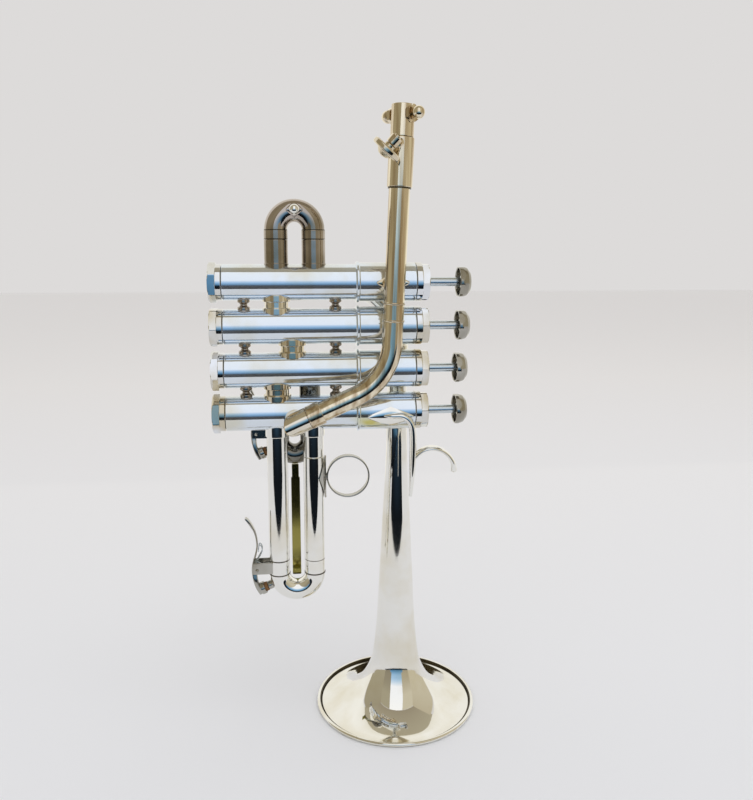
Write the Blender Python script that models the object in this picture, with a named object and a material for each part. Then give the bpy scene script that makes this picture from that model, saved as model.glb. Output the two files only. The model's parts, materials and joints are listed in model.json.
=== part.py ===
"""A piccolo trumpet with four in-line valves, standing on its bell.

Sizes are written in millimetres and turned into metres where a mesh or a place is made.
The bell's axis is X = Y = 0 and its rim stands on Z = 0. The valves lie along X in one
upright plane in front of the bell, buttons towards +X. The leadpipe is in front of them.
Heights of slides, leadpipe, hook and ring are measured from the valve that carries them.
"""

import math

import bmesh
import bpy
from mathutils import Matrix, Vector

MM = 0.001
GAP = 0.3
CUT_MARGIN = 1.0

# Valve block
LOWER_CASING_RADIUS = 9.9
CASING_STEP = 0.85
CASING_WALL = 1.3
CASING_SPACE = 2.9
UPPER_CASING_RADIUS = LOWER_CASING_RADIUS + CASING_STEP
VALVE_PITCH = 2 * UPPER_CASING_RADIUS + CASING_SPACE
FIRST_VALVE_Z = 266.8
CASING_BEAD_X = -25.3
CASING_BEAD_WIDTH = 1.5
CASING_BEAD_HEIGHT = 0.65
CASING_BEAD_ROUND = 0.4
LEFT_SEAM_X = -99.3
RIGHT_SEAM_X = 7.1
THREAD_LENGTH = 2.4
THREAD_DEPTH = 0.8
SPRING_CHAMBER_WALL = 1.25
CAP_OVERHANG = 0.05
CAP_FLOOR_CLEARANCE = 0.4
CAP_LAP = 0.2
BOTTOM_CAP_BODY = 3.4
TOP_CAP_BODY = 3.6
CAP_HEX_LENGTH = 4.0
CAP_HEX_OVERHANG = 0.45
CAP_HEX_CHAMFER = 0.5
BOTTOM_CAP_TURNS = (34.5, 3.1, 16.7, 23.3)
TOP_CAP_TURNS = (1.6, 56.5, 55.9, 52.7)
VENT_RADIUS = 2.0

# Pistons and buttons
PISTON_RADIUS = LOWER_CASING_RADIUS - CASING_WALL - GAP
PISTON_LENGTH = 55.0
PISTON_BOTTOM_X = -83.5
SPRING_BARREL_STEP = 1.8
SPRING_BARREL_LENGTH = 15.0
STEM_RADIUS = 2.55
STEM_CLEARANCE = 0.45
STROKE = 15.0
PORT_RADIUS = 4.9
PORT_MARGIN = 2.0
PISTON_PORT_FLOOR = 2.2
BUTTON_REST = (2.2, 2.0, 1.1, 1.3)
BUTTON_RADIUS = 8.75
BUTTON_FLAT = 8.15
BUTTON_HEIGHT = 6.6
BUTTON_WALL = 1.1
BUTTON_CROWN_RADIUS = 5.6
BUTTON_SHOULDER = (0.9, 1.9)
BUTTON_EDGE_DROP = 4.6
BUTTON_TAPER = 0.3
BUTTON_DISH = 0.3
BUTTON_ROOF = 3.2
BUTTON_BOSS_RADIUS = 3.6
BUTTON_BOSS_DEPTH = 5.1

# Bell: rim, wall, and the shares of the way from the tube's radius to the rim's at heights along the flare
BELL_RIM_RADIUS = 50.0
BELL_TUBE_RADIUS = 5.75
BELL_WALL = 0.7
RIM_BEAD = 1.25
RIM_FLAT = 1.3
RIM_GROOVE = 0.35
BELL_TAPER_Z = 202.0
BELL_FLARE = ((158.0, 0.019), (120.0, 0.064), (94.0, 0.094), (54.0, 0.142), (33.0, 0.193), (24.0, 0.250),
              (16.0, 0.349), (10.0, 0.480), (5.5, 0.638), (2.0, 0.819), (1.1, 0.923))
RIM_ANGLES = (160, 107, 53, 0)
BELL_SPACE = 1.5
BELL_BEND_RADIUS = 37.5
BELL_BOW_WALL = 0.8
BELL_SOCKET_LENGTH = 8.0
BELL_SOCKET_WALL = 0.45
BELL_SOCKET_SHOULDER = 1.0
BELL_ELBOW_RADIUS = 7.6
BELL_BRACE_RADIUS = 4.0
BELL_LEAF_DROP = 18.5
BELL_LEAF_LENGTH = 41.6
BELL_LEAF_SPREAD = 32.0
BELL_LEAF_THICKNESS = 0.6
BELL_LEAF_SIDE = -125.0
VALVE_PLANE_Y = -BELL_TUBE_RADIUS - BELL_SPACE - UPPER_CASING_RADIUS

# Airway tubes, by valve, and what stands on a casing
TUBE_RADIUS = 6.5
TUBE_WALL = 1.25
TUBE_COLLAR = 1.2
TUBE_COLLAR_STAND = 0.6
FOOT_MARGIN = 0.45
LINK_TUBES_X = (-70.1, -61.8, -70.5)
LEADPIPE_ENTRY_X = -60.8
BELL_ENTRY_X = -61.8
BRACES_X = (-88.0, -37.5)
BRACE_FLANGE_RADIUS = 3.45
BRACE_FLANGE_STAND = 0.9
BRACE_NECK_RADIUS = 2.15
BRACE_NECK_LENGTH = 0.7
FLANGE_SEAT = 0.15

# Tuning slides, by valve: the middle of the two legs and what they measure
SLIDE_X = (-59.5, -61.3, -61.3, -61.05)
SLIDE_SPACING = (20.4, 18.7, 18.7, 20.6)
SLIDE_OUTER_RADIUS = (6.5, 6.15, 6.15, 5.85)
SLIDE_WALL = 0.4
SLIDE_ENGAGED = (11.0, 5.0, 14.0, 66.0)
SLIDE_RUN = (5.5, 4.55, 10.6, 9.1)
BOW_RADIUS = (6.2, 6.0, 6.0, 6.0)
BOW_STEP = 0.3
BOW_SLICES = 6
COLLAR_OVERHANG = (0.25, 0.25, 0.0, 0.75)
COLLAR_HEIGHT = (0.35, 0.35, 0.0, 3.6)
FIRST_LEG_LENGTH = 13.2
SECOND_LEG_LENGTH = 5.1
FOURTH_LEG_LENGTH = 77.7
LONG_LEG_STUB = 16.0
FIRST_SLIDE_SEAM_RISE = LOWER_CASING_RADIUS + FIRST_LEG_LENGTH
SECOND_SLIDE_SEAM_DEPTH = LOWER_CASING_RADIUS + SECOND_LEG_LENGTH
FOURTH_SLIDE_SEAM_DROP = LOWER_CASING_RADIUS + FOURTH_LEG_LENGTH
LONG_LEG_DROP = LOWER_CASING_RADIUS + LONG_LEG_STUB
THIRD_SLIDE_SEAM_DROP = 33.25
THIRD_SLIDE_BEND = 7.0
THIRD_SLIDE_CLEARANCE = 0.45
LONG_LEG_SOCKET = 4.0
KNOB_RADIUS = 2.8
KNOB_STALK_RADIUS = 1.3
KNOB_STAND = 0.6
KNOB_PLATE_LENGTH = 5.7
KNOB_PLATE_SPREAD = 41.0
KNOB_PLATE_RISE = 0.6
PULL_BAR_LENGTH = 70.0
PULL_BAR_WIDTH = 5.2
PULL_BAR_THICKNESS = 1.6
PULL_BAR_NECK_LENGTH = 8.4
PULL_BAR_NECK_WIDTH = 4.1
PULL_BAR_LIP = 5.8
PULL_BAR_LIP_HEIGHT = 1.4

# Finger ring on the fourth slide
RING_DROP = 38.4
RING_RADIUS = 12.5
RING_WALL = 0.9
RING_WIDTH = 4.5
RING_STAND = 1.0
RING_FOOT_RADIUS = 2.2
RING_SADDLE_LENGTH = 25.0
RING_SADDLE_SPREAD = 62.0
RING_SADDLE_THICKNESS = 0.9

# Water keys, measured from the pin: lever stations hold x, z, half thickness and half width
KEY_PIN_ABOVE_BOW = 4.0
KEY_PIN_OFF_LEG = 7.05
KEY_WIDTH = 6.4
KEY_PIN_RADIUS = 0.9
KEY_PIN_END = 0.4
KEY_BARREL_RADIUS = 1.8
KEY_LEVER = ((-6.1, 30.6, 0.6, 2.0), (-4.0, 28.0, 0.75, 2.2), (-0.9, 22.0, 0.5, 1.9), (0.2, 15.0, 0.45, 1.5),
             (-0.5, 9.5, 0.45, 1.2), (-2.0, 4.0, 0.6, 0.9), (-2.1, 0.0, 1.2, 0.9), (-1.7, -3.2, 1.5, 0.9),
             (-1.2, -7.2, 1.4, 1.7), (0.1, -11.8, 1.3, 1.9), (1.9, -16.0, 0.9, 1.6))
SADDLE_WALL = 0.8
SADDLE_REACH = 2.6
SADDLE_BELOW_PIN = 2.6
SADDLE_ABOVE_PIN = 4.3
SADDLE_BITE = 0.5
NIPPLE_ANGLE = 203.0
NIPPLE_RADIUS = 2.6
NIPPLE_LENGTH = 2.2
NIPPLE_HOLE = 1.2
NIPPLE_BITE = 0.7
CORK_RADIUS = 2.7
CORK_LENGTH = 3.2
CUP_RADIUS = 3.7
CUP_LENGTH = 3.2
CUP_RECESS = 1.8

# Wire springs of the water keys: two coils round the barrel and a loop that presses on the lever
SPRING_WIRE = 0.3
SPRING_CLEARANCE = 0.36
SPRING_PITCH = 1.05
SPRING_POINTS = 9
SPRING_STEPS = 12
SPRING_FOOT_Z = -1.0
SPRING_ARM = ((0.85, 6.4), (3.0, 10.6), (2.8, 13.3), (1.8, 14.6), (1.2, 13.4), (0.85, 10.7))

# Leadpipe, sleeve and receiver
LEADPIPE_RADIUS = 5.6
LEADPIPE_WALL = 0.8
LEADPIPE_SPACE = 1.95
LEADPIPE_PLANE_Y = VALVE_PLANE_Y - UPPER_CASING_RADIUS - LEADPIPE_RADIUS - LEADPIPE_SPACE
LEADPIPE_LEAN = 2.4
LEADPIPE_BEND_RISE = 41.4
LEADPIPE_BEND_X = -7.8
LEADPIPE_BEND_RADIUS = 34.0
LEADPIPE_FALL = 24.0
LEADPIPE_RUN = 25.7
BEAD_RISES = (21.0, 11.7)
BEAD_WIDTH = 1.2
BEAD_HEIGHT = 0.45
FERRULE_LENGTH = 7.6
FERRULE_OVERLAP = 2.0
FERRULE_WALL = 0.6
ELBOW_STEP = 0.7
BRACE_PLATE_LENGTH = 18.0
BRACE_PLATE_SPREAD = 24.0
BRACE_PLATE_THICKNESS = 0.8
BRACE_FOOT_RADIUS = 2.4
SLEEVE_RISE = 49.9
SLEEVE_LENGTH = 25.0
SLEEVE_WALL = 0.8
SLEEVE_ROUND = 0.5
SLEEVE_LIP = 0.3
SLEEVE_INSERT = 4.0
SHANK_CLEARANCE = 0.6
RECEIVER_LENGTH = 16.5
RECEIVER_STEP = 0.55
RECEIVER_ROUND = 0.5
RECEIVER_MOUTH_WALL = 1.25
RECEIVER_THROAT_WALL = 1.3
SCREW_DROP = 5.0
SCREW_TURN = -50.0
SCREW_HEX_CORNER = 4.7
SCREW_HEX_LENGTH = 2.3
SCREW_HEX_CHAMFER = 0.35
SCREW_BALL_RADIUS = 3.35
SCREW_BITE = 0.6
THUMB_DROP = 7.5
THUMB_SIDE = -126.9
THUMB_STAND = 8.56
THUMB_AXIS = (-0.66, 0.17, -0.73)
THUMB_RADIUS = 8.2
THUMB_THICKNESS = 3.2
THUMB_ROUND = 0.6
THUMB_DOME_RADIUS = 4.6
THUMB_DOME_SHOULDER = (0.55, 0.75)
THUMB_DOME_HEIGHT = 2.6
THUMB_NECK_RADIUS = 2.8
THUMB_SHANK_RADIUS = 1.9
THUMB_SHANK_END = 0.8
LUG_RADIUS = 3.1
LUG_LENGTH = 4.6
LUG_START = 3.5
LUG_RIB_RADIUS = 2.2

# Pinky hook: x, height over the fourth valve, half thickness and half width of each station
HOOK_SPACE = 1.45
HOOK_ARM = ((-11.4, -0.7, 0.5, 0.5), (-6.5, -0.9, 1.5, 2.0), (-0.5, -1.1, 1.9, 3.2), (3.4, -4.4, 1.9, 3.6),
            (4.9, -10.0, 1.8, 3.6), (5.2, -20.0, 1.8, 3.5), (4.8, -34.0, 1.6, 2.9), (4.0, -48.0, 0.9, 1.3))
HOOK_CURL = ((5.4, -26.0, 1.2, 2.6), (8.6, -22.6, 1.3, 3.2), (12.0, -20.6, 1.3, 3.7), (16.6, -19.9, 1.3, 3.9),
             (21.2, -21.2, 1.3, 3.8), (25.4, -24.4, 1.3, 3.4), (28.2, -29.0, 1.4, 2.9), (28.9, -33.6, 1.7, 2.2))
HOOK_PLATE_X = -7.5
HOOK_PLATE_LENGTH = 25.6
HOOK_PLATE_SPREAD = 29.0
HOOK_PLATE_THICKNESS = 1.1
HOOK_PLATE_DROOP = 8.0

CASING_SIDES = 16
PISTON_SIDES = 12
TUBE_SIDES = 12
SMALL_SIDES = 8
SCREW_SIDES = 14
RING_SIDES = 20
BELL_SIDES = 20
ELBOW_SLICES = 4
LEADPIPE_SLICES = 5
SHARP_ANGLE = 35.0

# A lozenge plate: shares of its length, with its width there
LOZENGE = ((-0.5, 0.12), (-0.2, 0.7), (0.0, 1.0), (0.2, 0.7), (0.5, 0.12))

UP = Vector((0.0, 0.0, 1.0))
FRONT = Vector((0.0, -1.0, 0.0))
BACK = Vector((0.0, 1.0, 0.0))
RIGHT = Vector((1.0, 0.0, 0.0))


def valve_z(index):
    return FIRST_VALVE_Z - index * VALVE_PITCH


def foot_depth(radius):
    """How near a valve's axis a tube of this radius starts, so that its whole edge meets the casing."""
    return math.sqrt((LOWER_CASING_RADIUS + GAP) ** 2 - radius ** 2) - FOOT_MARGIN


def clear_scene():
    for obj in list(bpy.data.objects):
        bpy.data.objects.remove(obj)


def look(name, colour, roughness, metallic):
    """A material with one Principled shader."""
    material = bpy.data.materials.new(name)
    material.use_nodes = True
    shader = material.node_tree.nodes["Principled BSDF"]
    shader.inputs["Base Color"].default_value = (*colour, 1.0)
    shader.inputs["Roughness"].default_value = roughness
    shader.inputs["Metallic"].default_value = metallic
    return material


def empty(name, place, parent=None, turn=(0.0, 0.0, 0.0)):
    obj = bpy.data.objects.new(name, None)
    bpy.context.collection.objects.link(obj)
    obj.parent = parent
    obj.location = Vector(place) * MM
    obj.rotation_euler = [math.radians(angle) for angle in turn]
    return obj


def add(name, mesh, material, parent, place=(0.0, 0.0, 0.0), turn=(0.0, 0.0, 0.0)):
    """Links a mesh as a named object with its material, smooth where it is round."""
    obj = bpy.data.objects.new(name, mesh)
    bpy.context.collection.objects.link(obj)
    obj.parent = parent
    obj.location = Vector(place) * MM
    obj.rotation_euler = [math.radians(angle) for angle in turn]
    if material:
        mesh.materials.append(material)
    mesh.shade_smooth()
    mesh.set_sharp_from_angle(angle=math.radians(SHARP_ANGLE))
    return obj


def hide(obj):
    """Keeps a cutter or another helper out of the part."""
    obj.hide_render = True
    obj.display_type = "WIRE"
    return obj


def boolean(obj, other, operation):
    modifier = obj.modifiers.new(operation.lower(), "BOOLEAN")
    modifier.operation = operation
    modifier.object = hide(other)
    modifier.solver = "EXACT"
    return obj


def cut(obj, *cutters):
    for cutter in cutters:
        boolean(obj, cutter, "DIFFERENCE")
    return obj


def join(obj, *others):
    for other in others:
        boolean(obj, other, "UNION")
    return obj


def turned(name, outline, material, parent, place=(0, 0, 0), turn=(0, 0, 0), sides=TUBE_SIDES, hollow=False):
    """Turns an outline of (radius, height) about Z, its outer side from top to bottom."""
    mesh = bpy.data.meshes.new(name)
    edges = [(k, k + 1) for k in range(len(outline) - 1)]
    if hollow:
        edges.append((len(outline) - 1, 0))
    mesh.from_pydata([(r * MM, 0.0, z * MM) for r, z in outline], edges, [])
    obj = add(name, mesh, material, parent, place, turn)
    screw = obj.modifiers.new("turn", "SCREW")
    screw.steps = screw.render_steps = sides
    screw.use_merge_vertices = True
    screw.merge_threshold = 0.000002
    screw.use_smooth_shade = True
    return obj


def rod(name, radius, start, end, material, parent, sides=TUBE_SIDES):
    """A solid cylinder between two points."""
    start, end = Vector(start), Vector(end)
    along = end - start
    bm = bmesh.new()
    to_line = along.to_track_quat("Z", "Y").to_matrix().to_4x4()
    middle = Matrix.Translation((start + end) * 0.5 * MM)
    bmesh.ops.create_cone(bm, cap_ends=True, segments=sides, radius1=radius * MM, radius2=radius * MM,
                          depth=along.length * MM, matrix=middle @ to_line)
    mesh = bpy.data.meshes.new(name)
    bm.to_mesh(mesh)
    bm.free()
    return add(name, mesh, material, parent)


def hexagon(name, corner, bottom, top, chamfer, parent, turn):
    """A hexagonal bar along Z, with its ends chamfered unless the chamfer is 0."""
    bm = bmesh.new()
    middle = Matrix.Translation((0.0, 0.0, (bottom + top) * 0.5 * MM))
    spin = Matrix.Rotation(math.radians(turn), 4, "Z")
    bmesh.ops.create_cone(bm, cap_ends=True, segments=6, radius1=corner * MM, radius2=corner * MM,
                          depth=(top - bottom) * MM, matrix=middle @ spin)
    if chamfer:
        ends = [edge for edge in bm.edges if abs(edge.verts[0].co.z - edge.verts[1].co.z) < 1e-6]
        bmesh.ops.bevel(bm, geom=ends, offset=chamfer * MM, segments=1, affect="EDGES")
    mesh = bpy.data.meshes.new(name)
    bm.to_mesh(mesh)
    bm.free()
    return add(name, mesh, None, parent)


def ball(name, radius, centre, parent, sides=10):
    bm = bmesh.new()
    bmesh.ops.create_uvsphere(bm, u_segments=sides, v_segments=6, radius=radius * MM,
                              matrix=Matrix.Translation(Vector(centre) * MM))
    mesh = bpy.data.meshes.new(name)
    bm.to_mesh(mesh)
    bm.free()
    return add(name, mesh, None, parent)


def box(name, low, high, parent, material=None):
    low, high = Vector(low), Vector(high)
    bm = bmesh.new()
    scale = Matrix.Diagonal((*((high - low) * MM), 1.0))
    bmesh.ops.create_cube(bm, size=1.0, matrix=Matrix.Translation((low + high) * 0.5 * MM) @ scale)
    mesh = bpy.data.meshes.new(name)
    bm.to_mesh(mesh)
    bm.free()
    return add(name, mesh, material, parent)


def skin(name, rings, closed, material, parent, place=(0, 0, 0), turn=(0, 0, 0)):
    """A solid through rings of points: a closed loop of rings, or a run with flat ends."""
    bm = bmesh.new()
    rows = [[bm.verts.new(Vector(point) * MM) for point in ring] for ring in rings]
    pairs = list(zip(rows, rows[1:]))
    if closed:
        pairs.append((rows[-1], rows[0]))
    for one, two in pairs:
        for k in range(len(one)):
            bm.faces.new((one[k - 1], one[k], two[k], two[k - 1]))
    if not closed:
        bm.faces.new(rows[0])
        bm.faces.new(rows[-1])
    bmesh.ops.recalc_face_normals(bm, faces=bm.faces)
    mesh = bpy.data.meshes.new(name)
    bm.to_mesh(mesh)
    bm.free()
    return add(name, mesh, material, parent, place, turn)


class Pen:
    """Walks a route and leaves rings square to it, for a tube's outside and its bore."""

    def __init__(self, start, heading, side, sides=TUBE_SIDES):
        ahead = Vector(heading).normalized()
        across = (Vector(side) - ahead * ahead.dot(Vector(side))).normalized()
        self.at = Vector(start)
        self.frame = Matrix((across, ahead.cross(across), ahead)).transposed()
        self.sides = sides
        self.outside = []
        self.bore = []

    def ring(self, radius, stretch=1.0, stretch_along=(1.0, 0.0)):
        points = []
        for k in range(self.sides):
            angle = 2.0 * math.pi * k / self.sides
            flat = Vector((math.cos(angle), math.sin(angle)))
            line = Vector(stretch_along)
            flat += line * flat.dot(line) * (stretch - 1.0)
            points.append(self.at + self.frame @ Vector((flat.x, flat.y, 0.0)) * radius)
        return points

    def mark(self, outside=None, bore=None):
        if outside:
            self.outside.append(self.ring(outside))
        if bore:
            self.bore.append(self.ring(bore))

    def ahead(self, length):
        self.at = self.at + self.frame.col[2] * length

    def turn(self, axis, angle, radius, steps, outside, bore):
        """Follows an arc about an axis, leaving a ring after each step."""
        axis = Vector(axis).normalized()
        centre = self.at + axis.cross(self.frame.col[2]) * radius
        step = Matrix.Rotation(math.radians(angle / steps), 3, axis)
        for _ in range(steps):
            self.at = centre + step @ (self.at - centre)
            self.frame = step @ self.frame
            self.mark(outside, bore)

    def mitre(self, axis, angle, outside, bore):
        """Turns at once, with one stretched ring in the plane of the joint."""
        axis = Vector(axis).normalized()
        half = Matrix.Rotation(math.radians(angle / 2.0), 3, axis)
        self.frame = half @ self.frame
        line = self.frame.transposed() @ axis.cross(self.frame.col[2])
        line = Vector((line.x, line.y)).normalized()
        stretch = 1.0 / math.cos(math.radians(angle / 2.0))
        self.outside.append(self.ring(outside, stretch, line))
        self.bore.append(self.ring(bore, stretch, line))
        self.frame = half @ self.frame

    def tube(self, name, material, parent):
        return skin(name, self.outside + self.bore[::-1], True, material, parent)


def strip(name, stations, plane_y, material, parent, sides=8):
    """A solid bar in an XZ plane through stations of x, z, half thickness in that plane and half width."""
    grow = 1.0 / math.cos(math.pi / sides)
    rings = []
    for k, (x, z, thick, wide) in enumerate(stations):
        before = stations[max(k - 1, 0)]
        after = stations[min(k + 1, len(stations) - 1)]
        along = Vector((after[0] - before[0], after[1] - before[1])).normalized()
        ring = []
        for side in range(sides):
            angle = 2.0 * math.pi * (side + 0.5) / sides
            out = math.cos(angle) * thick * grow
            ring.append((x - along.y * out, plane_y + math.sin(angle) * wide * grow, z + along.x * out))
        rings.append(ring)
    return skin(name, rings, False, material, parent)


def saddle(name, radius, thickness, length, spread, material, parent, place, along, facing):
    """A lozenge plate curved round a tube through a place, with its middle on the side it faces."""
    rings = []
    for at, share in LOZENGE:
        angles = [math.radians(spread * share * (n / 2.0 - 1.0)) for n in range(5)]
        inner = [(radius * math.cos(a), radius * math.sin(a), at * length) for a in angles]
        outer = [((radius + thickness) * math.cos(a), (radius + thickness) * math.sin(a), at * length)
                 for a in reversed(angles)]
        rings.append(inner + outer)
    plate = skin(name, rings, False, material, parent, place)
    plate.rotation_euler = Matrix((facing, along.cross(facing), along)).transposed().to_euler()
    return plate


def clearances(root):
    """Helpers that cut a saddle in what meets a valve casing, one for each valve."""
    radius = LOWER_CASING_RADIUS + GAP
    upper = UPPER_CASING_RADIUS + GAP
    outline = ((0.0, RIGHT_SEAM_X), (upper, RIGHT_SEAM_X), (upper, CASING_BEAD_X),
               (radius, CASING_BEAD_X), (radius, LEFT_SEAM_X), (0.0, LEFT_SEAM_X))
    return [hide(turned(f"clearance_{n + 1}", outline, None, root, (0, VALVE_PLANE_Y, valve_z(n)),
                        (0, 90, 0), CASING_SIDES)) for n in range(4)]


def port_directions():
    """Each valve's ports as (x, direction), worked out from the tubes that meet it."""
    up, down, back = (0, 0, 1), (0, 0, -1), (0, 1, 0)
    ports = [[], [], [], []]
    for n, x in enumerate(LINK_TUBES_X):
        ports[n].append((x, down))
        ports[n + 1].append((x, up))
    for n, way in enumerate((up, back, back, down)):
        for side in (0, 1):
            ports[n].append((leg_x(n, side), way))
    ports[0].append((BELL_ENTRY_X, back))
    ports[3].append((LEADPIPE_ENTRY_X, (0, -LOWER_CASING_RADIUS, elbow_rise())))
    return ports


def port_cutter(name, ports, inner, outer, centre_z, parent):
    """One helper holding a cylinder for each port, from one distance off the valve's axis to another."""
    bm = bmesh.new()
    for x, way in ports:
        way = Vector(way).normalized()
        middle = Vector((x, VALVE_PLANE_Y, centre_z)) + way * (inner + outer) * 0.5
        lie = way.to_track_quat("Z", "Y").to_matrix().to_4x4()
        bmesh.ops.create_cone(bm, cap_ends=True, segments=SMALL_SIDES, radius1=PORT_RADIUS * MM,
                              radius2=PORT_RADIUS * MM, depth=(outer - inner) * MM,
                              matrix=Matrix.Translation(middle * MM) @ lie)
    mesh = bpy.data.meshes.new(name)
    bm.to_mesh(mesh)
    bm.free()
    return add(name, mesh, None, parent)


def valve_casing(index, silver, root):
    bead_left = CASING_BEAD_X - CASING_BEAD_WIDTH / 2
    bead_right = CASING_BEAD_X + CASING_BEAD_WIDTH / 2
    bead = UPPER_CASING_RADIUS + CASING_BEAD_HEIGHT
    right, thread_right = RIGHT_SEAM_X - GAP / 2, RIGHT_SEAM_X + THREAD_LENGTH
    left, thread_left = LEFT_SEAM_X + GAP / 2, LEFT_SEAM_X - THREAD_LENGTH
    upper_thread = UPPER_CASING_RADIUS - THREAD_DEPTH
    lower_thread = LOWER_CASING_RADIUS - THREAD_DEPTH
    bore = PISTON_RADIUS + GAP
    chamber = UPPER_CASING_RADIUS - SPRING_CHAMBER_WALL
    outline = (
        (upper_thread, thread_right), (upper_thread, right), (UPPER_CASING_RADIUS, right),
        (UPPER_CASING_RADIUS, bead_right), (bead, bead_right - CASING_BEAD_ROUND),
        (bead, bead_left + CASING_BEAD_ROUND), (LOWER_CASING_RADIUS, bead_left), (LOWER_CASING_RADIUS, left),
        (lower_thread, left), (lower_thread, thread_left), (bore, thread_left), (bore, bead_right),
        (chamber, bead_right), (chamber, thread_right),
    )
    casing = turned(f"valve_casing_{index + 1}", outline, silver, root,
                    (0, VALVE_PLANE_Y, valve_z(index)), (0, 90, 0), CASING_SIDES, hollow=True)
    cutter = port_cutter(f"casing_ports_{index + 1}", port_directions()[index], PISTON_RADIUS - PORT_MARGIN,
                         LOWER_CASING_RADIUS + PORT_MARGIN, valve_z(index), root)
    return cut(casing, cutter)


def cap_frame(name, index, root):
    """An empty on a valve's axis whose Z runs towards the buttons."""
    return empty(f"{name}_{index + 1}", (0, VALVE_PLANE_Y, valve_z(index)), root, (0, 90, 0))


def bottom_cap(index, silver, root):
    floor = LEFT_SEAM_X - THREAD_LENGTH - CAP_FLOOR_CLEARANCE
    lip = LEFT_SEAM_X - GAP / 2
    shoulder = LEFT_SEAM_X - BOTTOM_CAP_BODY
    end = shoulder - CAP_HEX_LENGTH
    inside = LOWER_CASING_RADIUS - THREAD_DEPTH + GAP
    outside = LOWER_CASING_RADIUS + CAP_OVERHANG
    frame = cap_frame("bottom_cap_place", index, root)
    outline = ((outside, lip), (outside, shoulder), (0.0, shoulder), (0.0, floor), (inside, floor), (inside, lip))
    cap = turned(f"bottom_cap_{index + 1}", outline, silver, frame, sides=CASING_SIDES, hollow=True)
    head = hexagon(f"bottom_hex_{index + 1}", UPPER_CASING_RADIUS + CAP_HEX_OVERHANG, end, shoulder + CAP_LAP,
                   CAP_HEX_CHAMFER, frame, BOTTOM_CAP_TURNS[index])
    vent = rod(f"bottom_vent_{index + 1}", VENT_RADIUS, (0, 0, end - CUT_MARGIN), (0, 0, floor + CUT_MARGIN),
               None, frame, SMALL_SIDES)
    return cut(join(cap, head), vent)


def top_cap_end():
    return RIGHT_SEAM_X + TOP_CAP_BODY + CAP_HEX_LENGTH


def top_cap(index, silver, root):
    ceiling = RIGHT_SEAM_X + THREAD_LENGTH + CAP_FLOOR_CLEARANCE
    lip = RIGHT_SEAM_X + GAP / 2
    shoulder = RIGHT_SEAM_X + TOP_CAP_BODY
    end = top_cap_end()
    inside = UPPER_CASING_RADIUS - THREAD_DEPTH + GAP
    outside = UPPER_CASING_RADIUS + CAP_OVERHANG
    frame = cap_frame("top_cap_place", index, root)
    outline = ((0.0, shoulder), (outside, shoulder), (outside, lip), (inside, lip), (inside, ceiling), (0.0, ceiling))
    cap = turned(f"top_cap_{index + 1}", outline, silver, frame, sides=CASING_SIDES, hollow=True)
    head = hexagon(f"top_hex_{index + 1}", UPPER_CASING_RADIUS + CAP_HEX_OVERHANG, shoulder - CAP_LAP, end,
                   CAP_HEX_CHAMFER, frame, TOP_CAP_TURNS[index])
    hole = rod(f"stem_hole_{index + 1}", STEM_RADIUS + STEM_CLEARANCE, (0, 0, ceiling - CUT_MARGIN),
               (0, 0, end + CUT_MARGIN), None, frame)
    return cut(join(cap, head), hole)


def button_lip_x(index):
    """The button's open edge stands one stroke and its rest height off the top cap."""
    return top_cap_end() + STROKE + BUTTON_REST[index]


def piston(index, steel, stroke_frame, root):
    top = PISTON_BOTTOM_X + PISTON_LENGTH
    barrel_top = top + SPRING_BARREL_LENGTH
    barrel = PISTON_RADIUS - SPRING_BARREL_STEP
    stem_top = button_lip_x(index) + BUTTON_HEIGHT - BUTTON_BOSS_DEPTH - GAP
    outline = ((0.0, stem_top), (STEM_RADIUS, stem_top), (STEM_RADIUS, barrel_top), (barrel, barrel_top),
               (barrel, top), (PISTON_RADIUS, top), (PISTON_RADIUS, PISTON_BOTTOM_X), (0.0, PISTON_BOTTOM_X))
    body = turned(f"piston_{index + 1}", outline, steel, stroke_frame, sides=PISTON_SIDES)
    ports = [port for port in port_directions()[index] if port[1][1] == 0]
    cutter = port_cutter(f"piston_ports_{index + 1}", ports, PISTON_PORT_FLOOR, PISTON_RADIUS + PORT_MARGIN,
                         valve_z(index), root)
    return cut(body, cutter)


def finger_button(index, silver, stroke_frame):
    """A hollow cap with a soft hexagonal edge and a boss over the stem."""
    lip = button_lip_x(index)
    top = lip + BUTTON_HEIGHT
    inside = BUTTON_RADIUS - BUTTON_WALL
    narrower, lower = BUTTON_SHOULDER
    outline = ((0.0, top - BUTTON_DISH), (BUTTON_CROWN_RADIUS, top), (BUTTON_RADIUS - narrower, top - lower),
               (BUTTON_RADIUS, top - BUTTON_EDGE_DROP), (BUTTON_RADIUS, lip), (inside, lip),
               (inside - BUTTON_TAPER, top - BUTTON_ROOF),
               (BUTTON_BOSS_RADIUS, top - BUTTON_ROOF), (BUTTON_BOSS_RADIUS, top - BUTTON_BOSS_DEPTH),
               (0.0, top - BUTTON_BOSS_DEPTH))
    button = turned(f"finger_button_{index + 1}", outline, silver, stroke_frame)
    edge = hexagon(f"button_edge_{index + 1}", BUTTON_FLAT / math.cos(math.pi / 6), lip - CUT_MARGIN,
                   top + CUT_MARGIN, 0.0, stroke_frame, 0.0)
    return boolean(button, edge, "INTERSECT")


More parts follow.
